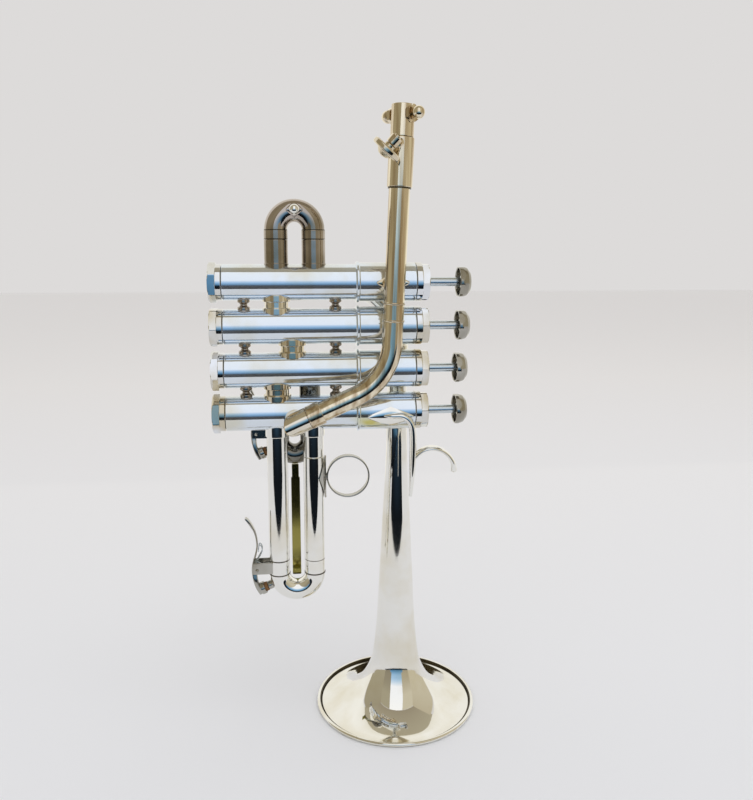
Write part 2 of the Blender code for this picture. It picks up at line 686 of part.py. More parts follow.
def link_tube(index, silver, root, shells):
    """The short tube between two neighbouring casings, with a collar saddled on each."""
    high, low = valve_z(index), valve_z(index + 1)
    collar = TUBE_RADIUS + TUBE_COLLAR
    bore = TUBE_RADIUS - TUBE_WALL
    foot = foot_depth(collar)
    edge = LOWER_CASING_RADIUS + TUBE_COLLAR_STAND
    outline = ((collar, high - foot), (collar, high - edge), (TUBE_RADIUS, high - edge), (TUBE_RADIUS, low + edge),
               (collar, low + edge), (collar, low + foot), (bore, low + foot), (bore, high - foot))
    tube = turned(f"valve_tube_{index + 1}_{index + 2}", outline, silver, root,
                  (LINK_TUBES_X[index], VALVE_PLANE_Y, 0), hollow=True)
    return cut(tube, shells[index], shells[index + 1])


def valve_brace(index, number, silver, root, shells):
    """A waisted post between two casings."""
    high = valve_z(index) - foot_depth(BRACE_FLANGE_RADIUS)
    low = valve_z(index + 1) + foot_depth(BRACE_FLANGE_RADIUS)
    high_edge = valve_z(index) - LOWER_CASING_RADIUS - BRACE_FLANGE_STAND
    low_edge = valve_z(index + 1) + LOWER_CASING_RADIUS + BRACE_FLANGE_STAND
    middle = (high + low) / 2
    outline = ((0.0, high), (BRACE_FLANGE_RADIUS, high), (BRACE_FLANGE_RADIUS, high_edge),
               (BRACE_NECK_RADIUS, middle + BRACE_NECK_LENGTH / 2),
               (BRACE_NECK_RADIUS, middle - BRACE_NECK_LENGTH / 2),
               (BRACE_FLANGE_RADIUS, low_edge), (BRACE_FLANGE_RADIUS, low), (0.0, low))
    brace = turned(f"valve_brace_{index + 1}_{index + 2}_{'ab'[number]}", outline, silver, root,
                   (BRACES_X[number], VALVE_PLANE_Y, 0), sides=SMALL_SIDES)
    return cut(brace, shells[index], shells[index + 1])


def leg_x(valve, side):
    return SLIDE_X[valve] + (-0.5, 0.5)[side] * SLIDE_SPACING[valve]


def leg_bore(valve):
    return SLIDE_OUTER_RADIUS[valve] - SLIDE_WALL


def inner_radius(valve):
    return leg_bore(valve) - GAP


def inner_bore(valve):
    return inner_radius(valve) - SLIDE_WALL


def collared(valve):
    """The foot of a fixed leg as outline points: its tube, its collar and the collar's foot."""
    radius = SLIDE_OUTER_RADIUS[valve]
    collar = radius + COLLAR_OVERHANG[valve]
    top = LOWER_CASING_RADIUS + COLLAR_HEIGHT[valve]
    return ((radius, top), (collar, top), (collar, foot_depth(collar)))


def straight_leg(name, valve, length, silver, root, place, turn, shell):
    """A fixed outer leg that stands on a casing along its own Z, with a collar at its foot."""
    foot = collared(valve)
    bore = leg_bore(valve)
    outline = ((SLIDE_OUTER_RADIUS[valve], length), *foot, (bore, foot[-1][1]), (bore, length))
    leg = turned(name, outline, silver, root, place, turn, hollow=True)
    return cut(leg, shell)


def first_slide_legs(silver, root, shells):
    for side in (0, 1):
        straight_leg(f"first_slide_leg_{'ab'[side]}", 0, FIRST_SLIDE_SEAM_RISE - GAP / 2, silver, root,
                     (leg_x(0, side), VALVE_PLANE_Y, valve_z(0)), (0, 0, 0), shells[0])


def second_slide_legs(silver, root, shells):
    for side in (0, 1):
        straight_leg(f"second_slide_leg_{'ab'[side]}", 1, SECOND_SLIDE_SEAM_DEPTH - GAP / 2, silver, root,
                     (leg_x(1, side), VALVE_PLANE_Y, valve_z(1)), (-90, 0, 0), shells[1])


def third_slide_place():
    """The middle of the third slide's seam: it hangs just behind the fourth casing."""
    back = VALVE_PLANE_Y + LOWER_CASING_RADIUS + THIRD_SLIDE_CLEARANCE
    return Vector((SLIDE_X[2], back + SLIDE_OUTER_RADIUS[2], valve_z(2) - THIRD_SLIDE_SEAM_DROP))


def third_slide_legs(silver, root, shells):
    """Each leg leaves the back of its casing and turns down behind the fourth valve."""
    radius, bore = SLIDE_OUTER_RADIUS[2], leg_bore(2)
    seam = third_slide_place()
    for side in (0, 1):
        pen = Pen((leg_x(2, side), VALVE_PLANE_Y + foot_depth(radius), valve_z(2)), BACK, RIGHT)
        pen.mark(radius, bore)
        pen.ahead(seam.y - THIRD_SLIDE_BEND - pen.at.y)
        pen.mark(radius, bore)
        pen.turn(-RIGHT, 90, THIRD_SLIDE_BEND, ELBOW_SLICES, radius, bore)
        pen.ahead(pen.at.z - seam.z - GAP / 2)
        pen.mark(radius, bore)
        cut(pen.tube(f"third_slide_leg_{'ab'[side]}", silver, root), shells[2])


def fourth_slide_legs(silver, root, shells):
    """The left leg is an outer tube; the right one is an inner tube that the long moving leg covers."""
    place = (leg_x(3, 0), VALVE_PLANE_Y, valve_z(3))
    straight_leg("fourth_slide_leg_a", 3, FOURTH_SLIDE_SEAM_DROP - GAP / 2, silver, root, place, (180, 0, 0),
                 shells[3])
    foot = collared(3)
    thin, bore = inner_radius(3), inner_bore(3)
    seam = LONG_LEG_DROP - GAP / 2
    end = FOURTH_SLIDE_SEAM_DROP + SLIDE_RUN[3] - LONG_LEG_SOCKET - GAP
    outline = ((thin, end), (thin, seam), (SLIDE_OUTER_RADIUS[3], seam), *foot, (bore, foot[-1][1]), (bore, end))
    leg = turned("fourth_slide_leg_b", outline, silver, root, (leg_x(3, 1), VALVE_PLANE_Y, valve_z(3)),
                 (180, 0, 0), hollow=True)
    cut(leg, shells[3])


def crook(name, valve, heading, across, silver, parent, long_leg=None):
    """A slide's moving bow about the middle of its seam plane.

    Its thin legs reach back into the outer legs. A long second leg covers a fixed inner tube instead.
    """
    axis = heading.cross(across)
    half = SLIDE_SPACING[valve] / 2
    thin, bore = inner_radius(valve), inner_bore(valve)
    fat, bow = SLIDE_OUTER_RADIUS[valve], BOW_RADIUS[valve]
    engaged = SLIDE_ENGAGED[valve]
    stretch = SLIDE_RUN[valve] - BOW_STEP - GAP / 2
    pen = Pen(across * -half + heading * (GAP / 2 - engaged), heading, axis)
    pen.mark(thin, bore)
    pen.ahead(engaged)
    pen.mark(thin)
    pen.mark(fat)
    pen.ahead(stretch)
    pen.mark(fat)
    pen.ahead(BOW_STEP)
    pen.mark(bow, bore)
    pen.turn(axis, 180, half, BOW_SLICES, bow, bore)
    if long_leg:
        pen.ahead(LONG_LEG_SOCKET)
        pen.mark(fat, bore)
        pen.mark(None, leg_bore(valve))
        pen.ahead(long_leg - LONG_LEG_SOCKET)
        pen.mark(fat, leg_bore(valve))
        return pen.tube(name, silver, parent)
    pen.ahead(BOW_STEP)
    pen.mark(fat)
    pen.ahead(stretch)
    pen.mark(fat)
    pen.mark(thin)
    pen.ahead(engaged)
    pen.mark(thin, bore)
    return pen.tube(name, silver, parent)


def first_slide(silver, root):
    """The upper slide, with a knob on a small plate at the front of its bow."""
    slide = empty("first_slide", (SLIDE_X[0], VALVE_PLANE_Y, valve_z(0) + FIRST_SLIDE_SEAM_RISE), root)
    bow = crook("first_slide_crook", 0, UP, RIGHT, silver, slide)
    top = SLIDE_RUN[0] + SLIDE_SPACING[0] / 2
    face = -BOW_RADIUS[0]
    ball_y = face - KNOB_STAND - KNOB_RADIUS
    stalk = rod("first_slide_stalk", KNOB_STALK_RADIUS, (0, face + KNOB_PLATE_RISE, top), (0, ball_y, top), None,
                slide, SMALL_SIDES)
    knob = ball("first_slide_knob", KNOB_RADIUS, (0, ball_y, top), slide)
    plate = saddle("knob_plate", BOW_RADIUS[0] - KNOB_PLATE_RISE, 2 * KNOB_PLATE_RISE, KNOB_PLATE_LENGTH,
                   KNOB_PLATE_SPREAD, None, slide, (0, 0, top), RIGHT, FRONT)
    join(bow, plate, stalk, knob)


def second_slide(silver, root):
    slide = empty("second_slide", (SLIDE_X[1], VALVE_PLANE_Y + SECOND_SLIDE_SEAM_DEPTH, valve_z(1)), root)
    crook("second_slide_crook", 1, BACK, RIGHT, silver, slide)


def nipple_line():
    """The direction from a bow's middle out to its water-key nipple, in its XZ plane."""
    angle = math.radians(NIPPLE_ANGLE)
    return Vector((math.cos(angle), 0.0, math.sin(angle)))


def key_mount(bow, valve, slide):
    """Joins a water key's nipple, saddle and pin to a crook."""
    line = nipple_line()
    surface = SLIDE_SPACING[valve] / 2 + BOW_RADIUS[valve]
    middle = -UP * SLIDE_RUN[valve]
    mouth = middle + line * (surface + NIPPLE_LENGTH)
    nipple = rod(f"nipple_{valve + 1}", NIPPLE_RADIUS, middle + line * (surface - NIPPLE_BITE), mouth, None, slide)
    hole = rod(f"nipple_hole_{valve + 1}", NIPPLE_HOLE, middle + line * (surface - BOW_RADIUS[valve] / 2),
               mouth + line, None, slide, SMALL_SIDES)
    pin = key_pin(valve)
    out = KEY_WIDTH / 2 + GAP + SADDLE_WALL
    in_wall = pin.x + leg_wall(valve, out) + SADDLE_BITE
    for side in (-1, 1):
        y = sorted((side * out, side * (out - SADDLE_WALL)))
        join(bow, box(f"saddle_{valve + 1}_{side}", (pin.x - SADDLE_REACH, y[0], pin.z - SADDLE_BELOW_PIN),
                      (in_wall, y[1], pin.z + SADDLE_ABOVE_PIN), slide))
    end = out + KEY_PIN_END
    axle = rod(f"pin_{valve + 1}", KEY_PIN_RADIUS, (pin.x, -end, pin.z), (pin.x, end, pin.z), None, slide,
               SMALL_SIDES)
    cut(join(bow, nipple, axle), hole)


def key_pin(valve):
    """The pin's middle from the middle of the slide's seam."""
    side = -SLIDE_SPACING[valve] / 2 - BOW_RADIUS[valve]
    return Vector((side - KEY_PIN_OFF_LEG, 0.0, KEY_PIN_ABOVE_BOW - SLIDE_RUN[valve]))


def leg_wall(valve, y):
    """How far the leg's surface lies to the right of the pin, at a distance off the slide's plane."""
    return KEY_PIN_OFF_LEG + BOW_RADIUS[valve] - math.sqrt(SLIDE_OUTER_RADIUS[valve] ** 2 - y ** 2)


def water_key(valve, silver, cork_look, steel, slide):
    """The lever with its cup, the cork in it, and the wire spring on its pin."""
    number = valve + 1
    pin = key_pin(valve)
    hinge = empty(f"water_key_hinge_{number}", pin, slide)
    half = KEY_WIDTH / 2
    lever = strip(f"water_key_{number}", KEY_LEVER, 0.0, silver, hinge, sides=4)
    barrel = rod(f"barrel_{number}", KEY_BARREL_RADIUS, (0, -half, 0), (0, half, 0), None, hinge)
    end = half + CUT_MARGIN
    bore = rod(f"barrel_bore_{number}", KEY_PIN_RADIUS + GAP, (0, -end, 0), (0, end, 0), None, hinge, SMALL_SIDES)
    line = nipple_line()
    surface = SLIDE_SPACING[valve] / 2 + BOW_RADIUS[valve]
    seat = line * (surface + NIPPLE_LENGTH + GAP) - UP * SLIDE_RUN[valve] - pin
    floor = seat + line * CORK_LENGTH
    rim = floor - line * (CUP_RECESS - GAP)
    cup = rod(f"cup_{number}", CUP_RADIUS, rim, rim + line * CUP_LENGTH, None, hinge)
    recess = rod(f"recess_{number}", CORK_RADIUS + GAP, rim - line, floor + line * GAP, None, hinge)
    cut(join(lever, barrel, cup), bore, recess)
    rod(f"water_key_cork_{number}", CORK_RADIUS, seat, floor, cork_look, hinge)
    key_spring(valve, pin, steel, slide)


def spring_route(valve):
    """From the leg round one end of the barrel, over the lever and back the same way, from the pin."""
    radius = KEY_BARREL_RADIUS + SPRING_CLEARANCE + SPRING_WIRE
    outer = KEY_WIDTH / 2 - SPRING_WIRE
    points = [Vector((leg_wall(valve, outer) - SPRING_WIRE - GAP, outer, SPRING_FOOT_Z))]
    for step in range(SPRING_STEPS + 1):
        turns = step / SPRING_POINTS
        angle = 2.0 * math.pi * (0.75 - turns)
        points.append(Vector((radius * math.cos(angle), outer - SPRING_PITCH * turns, radius * math.sin(angle))))
    inner = points[-1].y
    points += [Vector((x, inner, z)) for x, z in SPRING_ARM]
    return points + [Vector((point.x, -point.y, point.z)) for point in reversed(points)]


def least_gap(points, wire, apart):
    """The least clear distance between stretches of a wire that are some points apart."""
    gaps = [(one - two).length for k, one in enumerate(points) for two in points[k + apart:]]
    return min(gaps) - 2 * wire


def key_spring(valve, pin, steel, slide):
    """One wire with a coil round each end of the barrel."""
    name = f"water_key_spring_{valve + 1}"
    curve = bpy.data.curves.new(name, "CURVE")
    curve.dimensions = "3D"
    curve.bevel_depth = SPRING_WIRE * MM
    curve.bevel_resolution = 1
    curve.use_fill_caps = True
    points = spring_route(valve)
    print(f"{name} clears itself by {least_gap(points, SPRING_WIRE, SPRING_POINTS // 3):.2f} mm")
    spline = curve.splines.new("POLY")
    spline.points.add(len(points) - 1)
    for target, point in zip(spline.points, points):
        target.co = (*(point * MM), 1.0)
    obj = bpy.data.objects.new(name, curve)
    bpy.context.collection.objects.link(obj)
    obj.parent = slide
    obj.location = pin * MM
    curve.materials.append(steel)


def third_slide(silver, cork_look, steel, root):
    slide = empty("third_slide", third_slide_place(), root)
    bow = crook("third_slide_crook", 2, -UP, RIGHT, silver, slide)
    key_mount(bow, 2, slide)
    water_key(2, silver, cork_look, steel, slide)
    pull_bar(silver, slide)


def pull_bar(silver, slide):
    """A flat bar that hangs from the third bow, with a narrower neck and a lip at its foot."""
    bow_bottom = -SLIDE_RUN[2] - SLIDE_SPACING[2] / 2 - BOW_RADIUS[2]
    shoulder = bow_bottom - PULL_BAR_NECK_LENGTH
    bottom = bow_bottom - PULL_BAR_LENGTH
    thick, wide, neck = PULL_BAR_THICKNESS / 2, PULL_BAR_WIDTH / 2, PULL_BAR_NECK_WIDTH / 2
    bar = box("third_slide_pull_bar", (-wide, -thick, bottom), (wide, thick, shoulder), slide, silver)
    return join(bar, box("pull_bar_neck", (-neck, -thick, shoulder - CUT_MARGIN),
                         (neck, thick, bow_bottom - GAP), slide),
                box("pull_bar_lip", (-wide, -thick, bottom), (wide, PULL_BAR_LIP - thick,
                                                              bottom + PULL_BAR_LIP_HEIGHT), slide))


def fourth_slide(silver, cork_look, steel, root):
    slide = empty("fourth_slide", (SLIDE_X[3], VALVE_PLANE_Y, valve_z(3) - FOURTH_SLIDE_SEAM_DROP), root)
    long_leg = FOURTH_SLIDE_SEAM_DROP + SLIDE_RUN[3] - LONG_LEG_DROP - GAP / 2
    bow = crook("fourth_slide_crook", 3, -UP, RIGHT, silver, slide, long_leg)
    key_mount(bow, 3, slide)
    water_key(3, silver, cork_look, steel, slide)
    finger_ring(silver, slide)


def finger_ring(silver, slide):
    """A flat band whose hole faces the front, on a lozenge saddle against the long leg."""
    leg = SLIDE_SPACING[3] / 2
    z = FOURTH_SLIDE_SEAM_DROP - RING_DROP
    grip = SLIDE_OUTER_RADIUS[3] + GAP + FLANGE_SEAT
    inner = RING_RADIUS - RING_WALL
    outline = ((RING_RADIUS, RING_WIDTH / 2), (RING_RADIUS, -RING_WIDTH / 2), (inner, -RING_WIDTH / 2),
               (inner, RING_WIDTH / 2))
    band = leg + grip + RING_STAND
    ring = turned("finger_ring", outline, silver, slide, (band + RING_RADIUS, 0, z), (-90, 0, 0), RING_SIDES,
                  hollow=True)
    plate = saddle("ring_saddle", grip, RING_SADDLE_THICKNESS, RING_SADDLE_LENGTH, RING_SADDLE_SPREAD, None, slide,
                   (leg, 0, z), UP, RIGHT)
    foot = rod("ring_foot", RING_FOOT_RADIUS, (leg + grip + GAP, 0, z), (band + RING_WALL, 0, z), None, slide)
    inside = rod("ring_inside", inner, (band + RING_RADIUS, RING_WIDTH, z), (band + RING_RADIUS, -RING_WIDTH, z),
                 None, slide, RING_SIDES)
    return join(ring, cut(foot, inside), plate)


def elbow_rise():
    """How far the elbow's axis lies above the fourth valve's, as the leadpipe's fall leads it there."""
    lean, fall = math.radians(LEADPIPE_LEAN), math.radians(LEADPIPE_FALL)
    drop = LEADPIPE_BEND_RADIUS * (math.cos(fall) - math.sin(lean))
    run = LEADPIPE_BEND_X - LEADPIPE_BEND_RADIUS * (math.cos(lean) - math.sin(fall)) - LEADPIPE_ENTRY_X
    return LEADPIPE_BEND_RISE - drop - run * math.tan(fall)


def leadpipe_bend_z():
    return valve_z(3) + LEADPIPE_BEND_RISE


def sleeve_bottom_z():
    return valve_z(0) + SLEEVE_RISE


def sleeve_top_z():
    return sleeve_bottom_z() + SLEEVE_LENGTH


def leadpipe_point(z):
    """The middle of the straight leadpipe at a height."""
    lean = math.tan(math.radians(LEADPIPE_LEAN))
    return Vector((LEADPIPE_BEND_X + (z - leadpipe_bend_z()) * lean, LEADPIPE_PLANE_Y, z))


def leadpipe_down():
    lean = math.radians(LEADPIPE_LEAN)
    return Vector((-math.sin(lean), 0.0, -math.cos(lean)))


def leadpipe(silver, root):
    """From the sleeve down to the fall towards the fourth valve, with two thin beads."""
    slant = math.cos(math.radians(LEADPIPE_LEAN))
    bore = LEADPIPE_RADIUS - LEADPIPE_WALL
    pen = Pen(leadpipe_point(sleeve_bottom_z() + SLEEVE_INSERT), leadpipe_down(), BACK)
    pen.mark(LEADPIPE_RADIUS, bore)
    for rise in BEAD_RISES:
        pen.ahead((pen.at.z - leadpipe_bend_z() - rise) / slant - BEAD_WIDTH / 2)
        pen.mark(LEADPIPE_RADIUS)
        pen.mark(LEADPIPE_RADIUS + BEAD_HEIGHT)
        pen.ahead(BEAD_WIDTH)
        pen.mark(LEADPIPE_RADIUS + BEAD_HEIGHT)
        pen.mark(LEADPIPE_RADIUS)
    pen.ahead((pen.at.z - leadpipe_bend_z()) / slant)
    pen.mark(LEADPIPE_RADIUS, bore)
    pen.turn(BACK, 90.0 - LEADPIPE_LEAN - LEADPIPE_FALL, LEADPIPE_BEND_RADIUS, LEADPIPE_SLICES,
             LEADPIPE_RADIUS, bore)
    pen.ahead(LEADPIPE_RUN)
    pen.mark(LEADPIPE_RADIUS, bore)
    pen.tube("leadpipe", silver, root)
    return pen.at.copy(), pen.frame.col[2].copy()


def leadpipe_end(silver, root, shells):
    """The ferrule on the leadpipe's end and the mitred elbow that enters the fourth valve."""
    at, heading = leadpipe(silver, root)
    ferrule = LEADPIPE_RADIUS + GAP + FERRULE_WALL
    pen = Pen(at - heading * (FERRULE_LENGTH - FERRULE_OVERLAP), heading, BACK)
    pen.mark(ferrule, LEADPIPE_RADIUS + GAP)
    pen.ahead(FERRULE_LENGTH)
    pen.mark(ferrule, LEADPIPE_RADIUS + GAP)
    pen.tube("leadpipe_ferrule", silver, root)
    bore = LEADPIPE_RADIUS - LEADPIPE_WALL
    elbow = LEADPIPE_RADIUS + ELBOW_STEP
    pen = Pen(at + heading * GAP, heading, BACK)
    pen.mark(LEADPIPE_RADIUS, bore)
    pen.ahead(FERRULE_OVERLAP)
    pen.mark(LEADPIPE_RADIUS)
    pen.mark(elbow)
    pen.ahead((pen.at.x - LEADPIPE_ENTRY_X) / -heading.x)
    pen.mitre(heading.cross(BACK), 90.0, elbow, bore)
    pen.ahead(VALVE_PLANE_Y - foot_depth(elbow) - LEADPIPE_PLANE_Y)
    pen.mark(elbow, bore)
    return cut(pen.tube("leadpipe_elbow", silver, root), shells[3])


def leadpipe_brace(silver, root):
    """A lozenge on the first casing with a foot that reaches the leadpipe."""
    centre = leadpipe_point(valve_z(0))
    face = VALVE_PLANE_Y - UPPER_CASING_RADIUS - GAP - FLANGE_SEAT
    plate = saddle("leadpipe_brace", UPPER_CASING_RADIUS + GAP + FLANGE_SEAT, BRACE_PLATE_THICKNESS,
                   BRACE_PLATE_LENGTH, BRACE_PLATE_SPREAD, silver, root, (centre.x, VALVE_PLANE_Y, valve_z(0)),
                   RIGHT, FRONT)
    foot = rod("brace_foot", BRACE_FOOT_RADIUS, centre, (centre.x, face - BRACE_PLATE_THICKNESS / 2, valve_z(0)),
               None, root)
    reach = leadpipe_down() * BRACE_PLATE_LENGTH
    pipe = rod("brace_pipe_cut", LEADPIPE_RADIUS + GAP, centre - reach, centre + reach, None, root)
    return cut(join(plate, foot), pipe)


def thumb_centre():
    """The middle of the thumbscrew's head, which stands off the sleeve."""
    z = sleeve_top_z() - THUMB_DROP
    side = math.radians(THUMB_SIDE)
    stand = LEADPIPE_RADIUS + GAP + SLEEVE_WALL + THUMB_STAND
    return leadpipe_point(z) + Vector((math.cos(side), math.sin(side), 0.0)) * stand


def sleeve(silver, root):
    """The split sleeve on the leadpipe with the lug that its thumbscrew turns in."""
    low, high = leadpipe_point(sleeve_bottom_z()), leadpipe_point(sleeve_top_z())
    bore = LEADPIPE_RADIUS + GAP
    radius = bore + SLEEVE_WALL
    pen = Pen(high, leadpipe_down(), BACK)
    pen.mark(radius - SLEEVE_LIP, bore)
    pen.ahead(SLEEVE_ROUND)
    pen.mark(radius)
    pen.ahead((high - low).length - 2 * SLEEVE_ROUND)
    pen.mark(radius)
    pen.ahead(SLEEVE_ROUND)
    pen.mark(radius - SLEEVE_LIP, bore)
    tube = pen.tube("leadpipe_sleeve", silver, root)
    axis = Vector(THUMB_AXIS).normalized()
    near = thumb_centre() - axis * LUG_START
    far = near - axis * LUG_LENGTH
    lug = rod("thumbscrew_lug", LUG_RADIUS, near, far, None, root)
    middle = (near + far) / 2
    inward = leadpipe_point(middle.z)
    out = (middle - inward).normalized()
    rib = rod("thumbscrew_rib", LUG_RIB_RADIUS, inward + out * (bore + SLEEVE_WALL / 2), middle, None, root,
              SMALL_SIDES)
    hole = rod("thumbscrew_hole", THUMB_SHANK_RADIUS + GAP, near + axis, far - axis, None, root, SMALL_SIDES)
    return cut(join(tube, rib, lug), hole)


def thumbscrew(silver, root):
    """A coin head with a dome, on a threaded shank that turns in the sleeve's lug."""
    spin = Vector(THUMB_AXIS).to_track_quat("Z", "Y").to_euler()
    frame = empty("thumbscrew_place", thumb_centre(), root, [math.degrees(a) for a in spin])
    half = THUMB_THICKNESS / 2
    edge = THUMB_RADIUS - THUMB_ROUND
    neck_end = GAP - LUG_START
    tip = -LUG_START - LUG_LENGTH - THUMB_SHANK_END
    inward, upward = THUMB_DOME_SHOULDER
    outline = ((0.0, half + THUMB_DOME_HEIGHT),
               (inward * THUMB_DOME_RADIUS, half + upward * THUMB_DOME_HEIGHT),
               (THUMB_DOME_RADIUS, half), (edge, half), (THUMB_RADIUS, half - THUMB_ROUND),
               (THUMB_RADIUS, THUMB_ROUND - half), (edge, -half), (THUMB_NECK_RADIUS, -half),
               (THUMB_NECK_RADIUS, neck_end), (THUMB_SHANK_RADIUS, neck_end), (THUMB_SHANK_RADIUS, tip), (0.0, tip))
    turned("thumbscrew", outline, silver, frame, sides=SCREW_SIDES)


def receiver(silver, root):
    """The mouthpiece receiver on its shank, with two ball-ended screws near its mouth."""
    top = leadpipe_point(sleeve_top_z() + RECEIVER_LENGTH)
    seam = leadpipe_point(sleeve_top_z() + GAP)
    radius = LEADPIPE_RADIUS + RECEIVER_STEP
    throat = LEADPIPE_RADIUS - RECEIVER_THROAT_WALL
    frame = empty("receiver_place", seam, root)
    pen = Pen(top - seam, leadpipe_down(), BACK)
    pen.mark(radius - RECEIVER_ROUND, radius - RECEIVER_MOUTH_WALL)
    pen.ahead(RECEIVER_ROUND)
    pen.mark(radius)
    pen.ahead((top - seam).length - RECEIVER_ROUND)
    pen.mark(radius, throat)
    pen.mark(LEADPIPE_RADIUS)
    pen.ahead(SLEEVE_LENGTH - SLEEVE_INSERT - SHANK_CLEARANCE)
    pen.mark(LEADPIPE_RADIUS, throat)
    body = pen.tube("mouthpiece_receiver", silver, frame)
    level = leadpipe_point(top.z - SCREW_DROP) - seam
    for number in (0, 1):
        turn = math.radians(SCREW_TURN + 180.0 * number)
        screw_head(body, number, level, Vector((math.cos(turn), math.sin(turn), 0.0)), radius, frame)


def screw_head(body, number, level, way, radius, frame):
    """A hexagon against the receiver with a ball on its end."""
    stand = empty(f"screw_place_{number}", level + way * (radius - SCREW_BITE), frame,
                  [math.degrees(a) for a in way.to_track_quat("Z", "Y").to_euler()])
    nut = hexagon(f"screw_hex_{number}", SCREW_HEX_CORNER, 0.0, SCREW_HEX_LENGTH, SCREW_HEX_CHAMFER, stand, 0.0)
    centre = SCREW_HEX_LENGTH + SCREW_BALL_RADIUS - SCREW_BITE
    join(body, nut, ball(f"screw_ball_{number}", SCREW_BALL_RADIUS, (0, 0, centre), stand))


def bell_top_z():
    return valve_z(0) - BELL_BEND_RADIUS - BELL_SOCKET_SHOULDER - GAP


def bell_side():
    """The bell's outer side as (radius, height), from its top down to the rim's bead."""
    widening = BELL_RIM_RADIUS - BELL_TUBE_RADIUS
    side = [(BELL_TUBE_RADIUS, bell_top_z()), (BELL_TUBE_RADIUS, BELL_TAPER_Z)]
    return side + [(BELL_TUBE_RADIUS + widening * share, z) for z, share in BELL_FLARE]


def bell_radius(height):
    side = bell_side()
    for (radius, top), (wider, bottom) in zip(side, side[1:]):
        if bottom <= height <= top:
            return radius + (wider - radius) * (top - height) / (top - bottom)


def bell_outline():
    """Outer side from top to bottom, round the rim's bead with its flat foot, and up the inner side."""
    outer = bell_side()
    inner = []
    for k, (radius, z) in enumerate(outer):
        before, after = outer[max(k - 1, 0)], outer[min(k + 1, len(outer) - 1)]
        slope = Vector((after[0] - before[0], after[1] - before[1])).normalized()
        inner.append((radius + slope.y * BELL_WALL, z - slope.x * BELL_WALL))
    middle = BELL_RIM_RADIUS - RIM_BEAD
    bead = [(middle - RIM_BEAD, outer[-1][1])]
    for angle in RIM_ANGLES:
        way = math.radians(angle)
        bead.append((middle + RIM_BEAD * math.cos(way), RIM_BEAD * (1.0 + math.sin(way))))
    bead += [(middle + RIM_FLAT / 2, 0.0), (middle - RIM_FLAT / 2, 0.0), (middle - RIM_BEAD, RIM_GROOVE)]
    return outer + bead + inner[::-1]


def bell(silver, root):
    return turned("bell", bell_outline(), silver, root, sides=BELL_SIDES, hollow=True)


def bell_bow(silver, root, shells):
    """The bell's tail: a socket on the bell, a quarter bend and an elbow into the first valve."""
    radius, bore = BELL_TUBE_RADIUS, BELL_TUBE_RADIUS - BELL_BOW_WALL
    socket = radius + GAP + BELL_SOCKET_WALL
    pen = Pen(UP * (bell_top_z() - BELL_SOCKET_LENGTH), UP, BACK)
    pen.mark(socket, radius + GAP)
    pen.ahead(BELL_SOCKET_LENGTH + GAP)
    pen.mark(socket, radius + GAP)
    pen.mark(None, bore)
    pen.ahead(BELL_SOCKET_SHOULDER)
    pen.mark(socket)
    pen.mark(radius, bore)
    pen.turn(FRONT, 90, BELL_BEND_RADIUS, BOW_SLICES, radius, bore)
    pen.ahead(pen.at.x - BELL_ENTRY_X - BELL_ELBOW_RADIUS)
    pen.mark(radius, bore)
    pen.turn(UP, 90, BELL_ELBOW_RADIUS, ELBOW_SLICES, radius, bore)
    pen.ahead(pen.at.y - VALVE_PLANE_Y - foot_depth(radius))
    pen.mark(radius, bore)
    return cut(pen.tube("bell_bow", silver, root), shells[0])


def bell_brace(silver, root, shells):
    """A block between the bell's tube and the fourth casing, with a long leaf down the tube's side."""
    z = valve_z(3)
    block = rod("bell_brace", BELL_BRACE_RADIUS, (0, VALVE_PLANE_Y + foot_depth(BELL_BRACE_RADIUS), z),
                (0, -BELL_TUBE_RADIUS / 2, z), silver, root)
    pipe = rod("bell_brace_cut", bell_radius(z - BELL_BRACE_RADIUS) + GAP, UP * (z - BELL_LEAF_DROP),
               UP * (z + BELL_LEAF_DROP), None, root, BELL_SIDES)
    leaf_z = z - BELL_LEAF_DROP
    top, bottom = bell_radius(leaf_z + BELL_LEAF_LENGTH / 2), bell_radius(leaf_z - BELL_LEAF_LENGTH / 2)
    side = math.radians(BELL_LEAF_SIDE)
    facing = Vector((math.cos(side), math.sin(side), 0.0))
    along = (UP - facing * (bottom - top) / BELL_LEAF_LENGTH).normalized()
    facing = (facing - along * facing.dot(along)).normalized()
    leaf = saddle("bell_leaf", (top + bottom) / 2 + GAP + FLANGE_SEAT, BELL_LEAF_THICKNESS, BELL_LEAF_LENGTH,
                  BELL_LEAF_SPREAD, None, root, UP * leaf_z, along, facing)
    return cut(join(cut(block, pipe), leaf), shells[3])


def pinky_hook(silver, root, shells):
    """A lozenge on the fourth casing, an arm that bends down from it, and the curl for the finger."""
    plane_y = VALVE_PLANE_Y - UPPER_CASING_RADIUS - HOOK_SPACE
    droop = math.radians(HOOK_PLATE_DROOP)
    facing = Vector((0.0, -math.cos(droop), -math.sin(droop)))
    plate = saddle("pinky_hook", UPPER_CASING_RADIUS + GAP + FLANGE_SEAT, HOOK_PLATE_THICKNESS, HOOK_PLATE_LENGTH,
                   HOOK_PLATE_SPREAD, silver, root, (HOOK_PLATE_X, VALVE_PLANE_Y, valve_z(3)), RIGHT, facing)
    bars = []
    for name, stations in (("hook_arm", HOOK_ARM), ("hook_curl", HOOK_CURL)):
        placed = [(x, valve_z(3) + rise, thick, wide) for x, rise, thick, wide in stations]
        bars.append(strip(name, placed, plane_y, None, root))
    return cut(join(plate, *bars), shells[3])


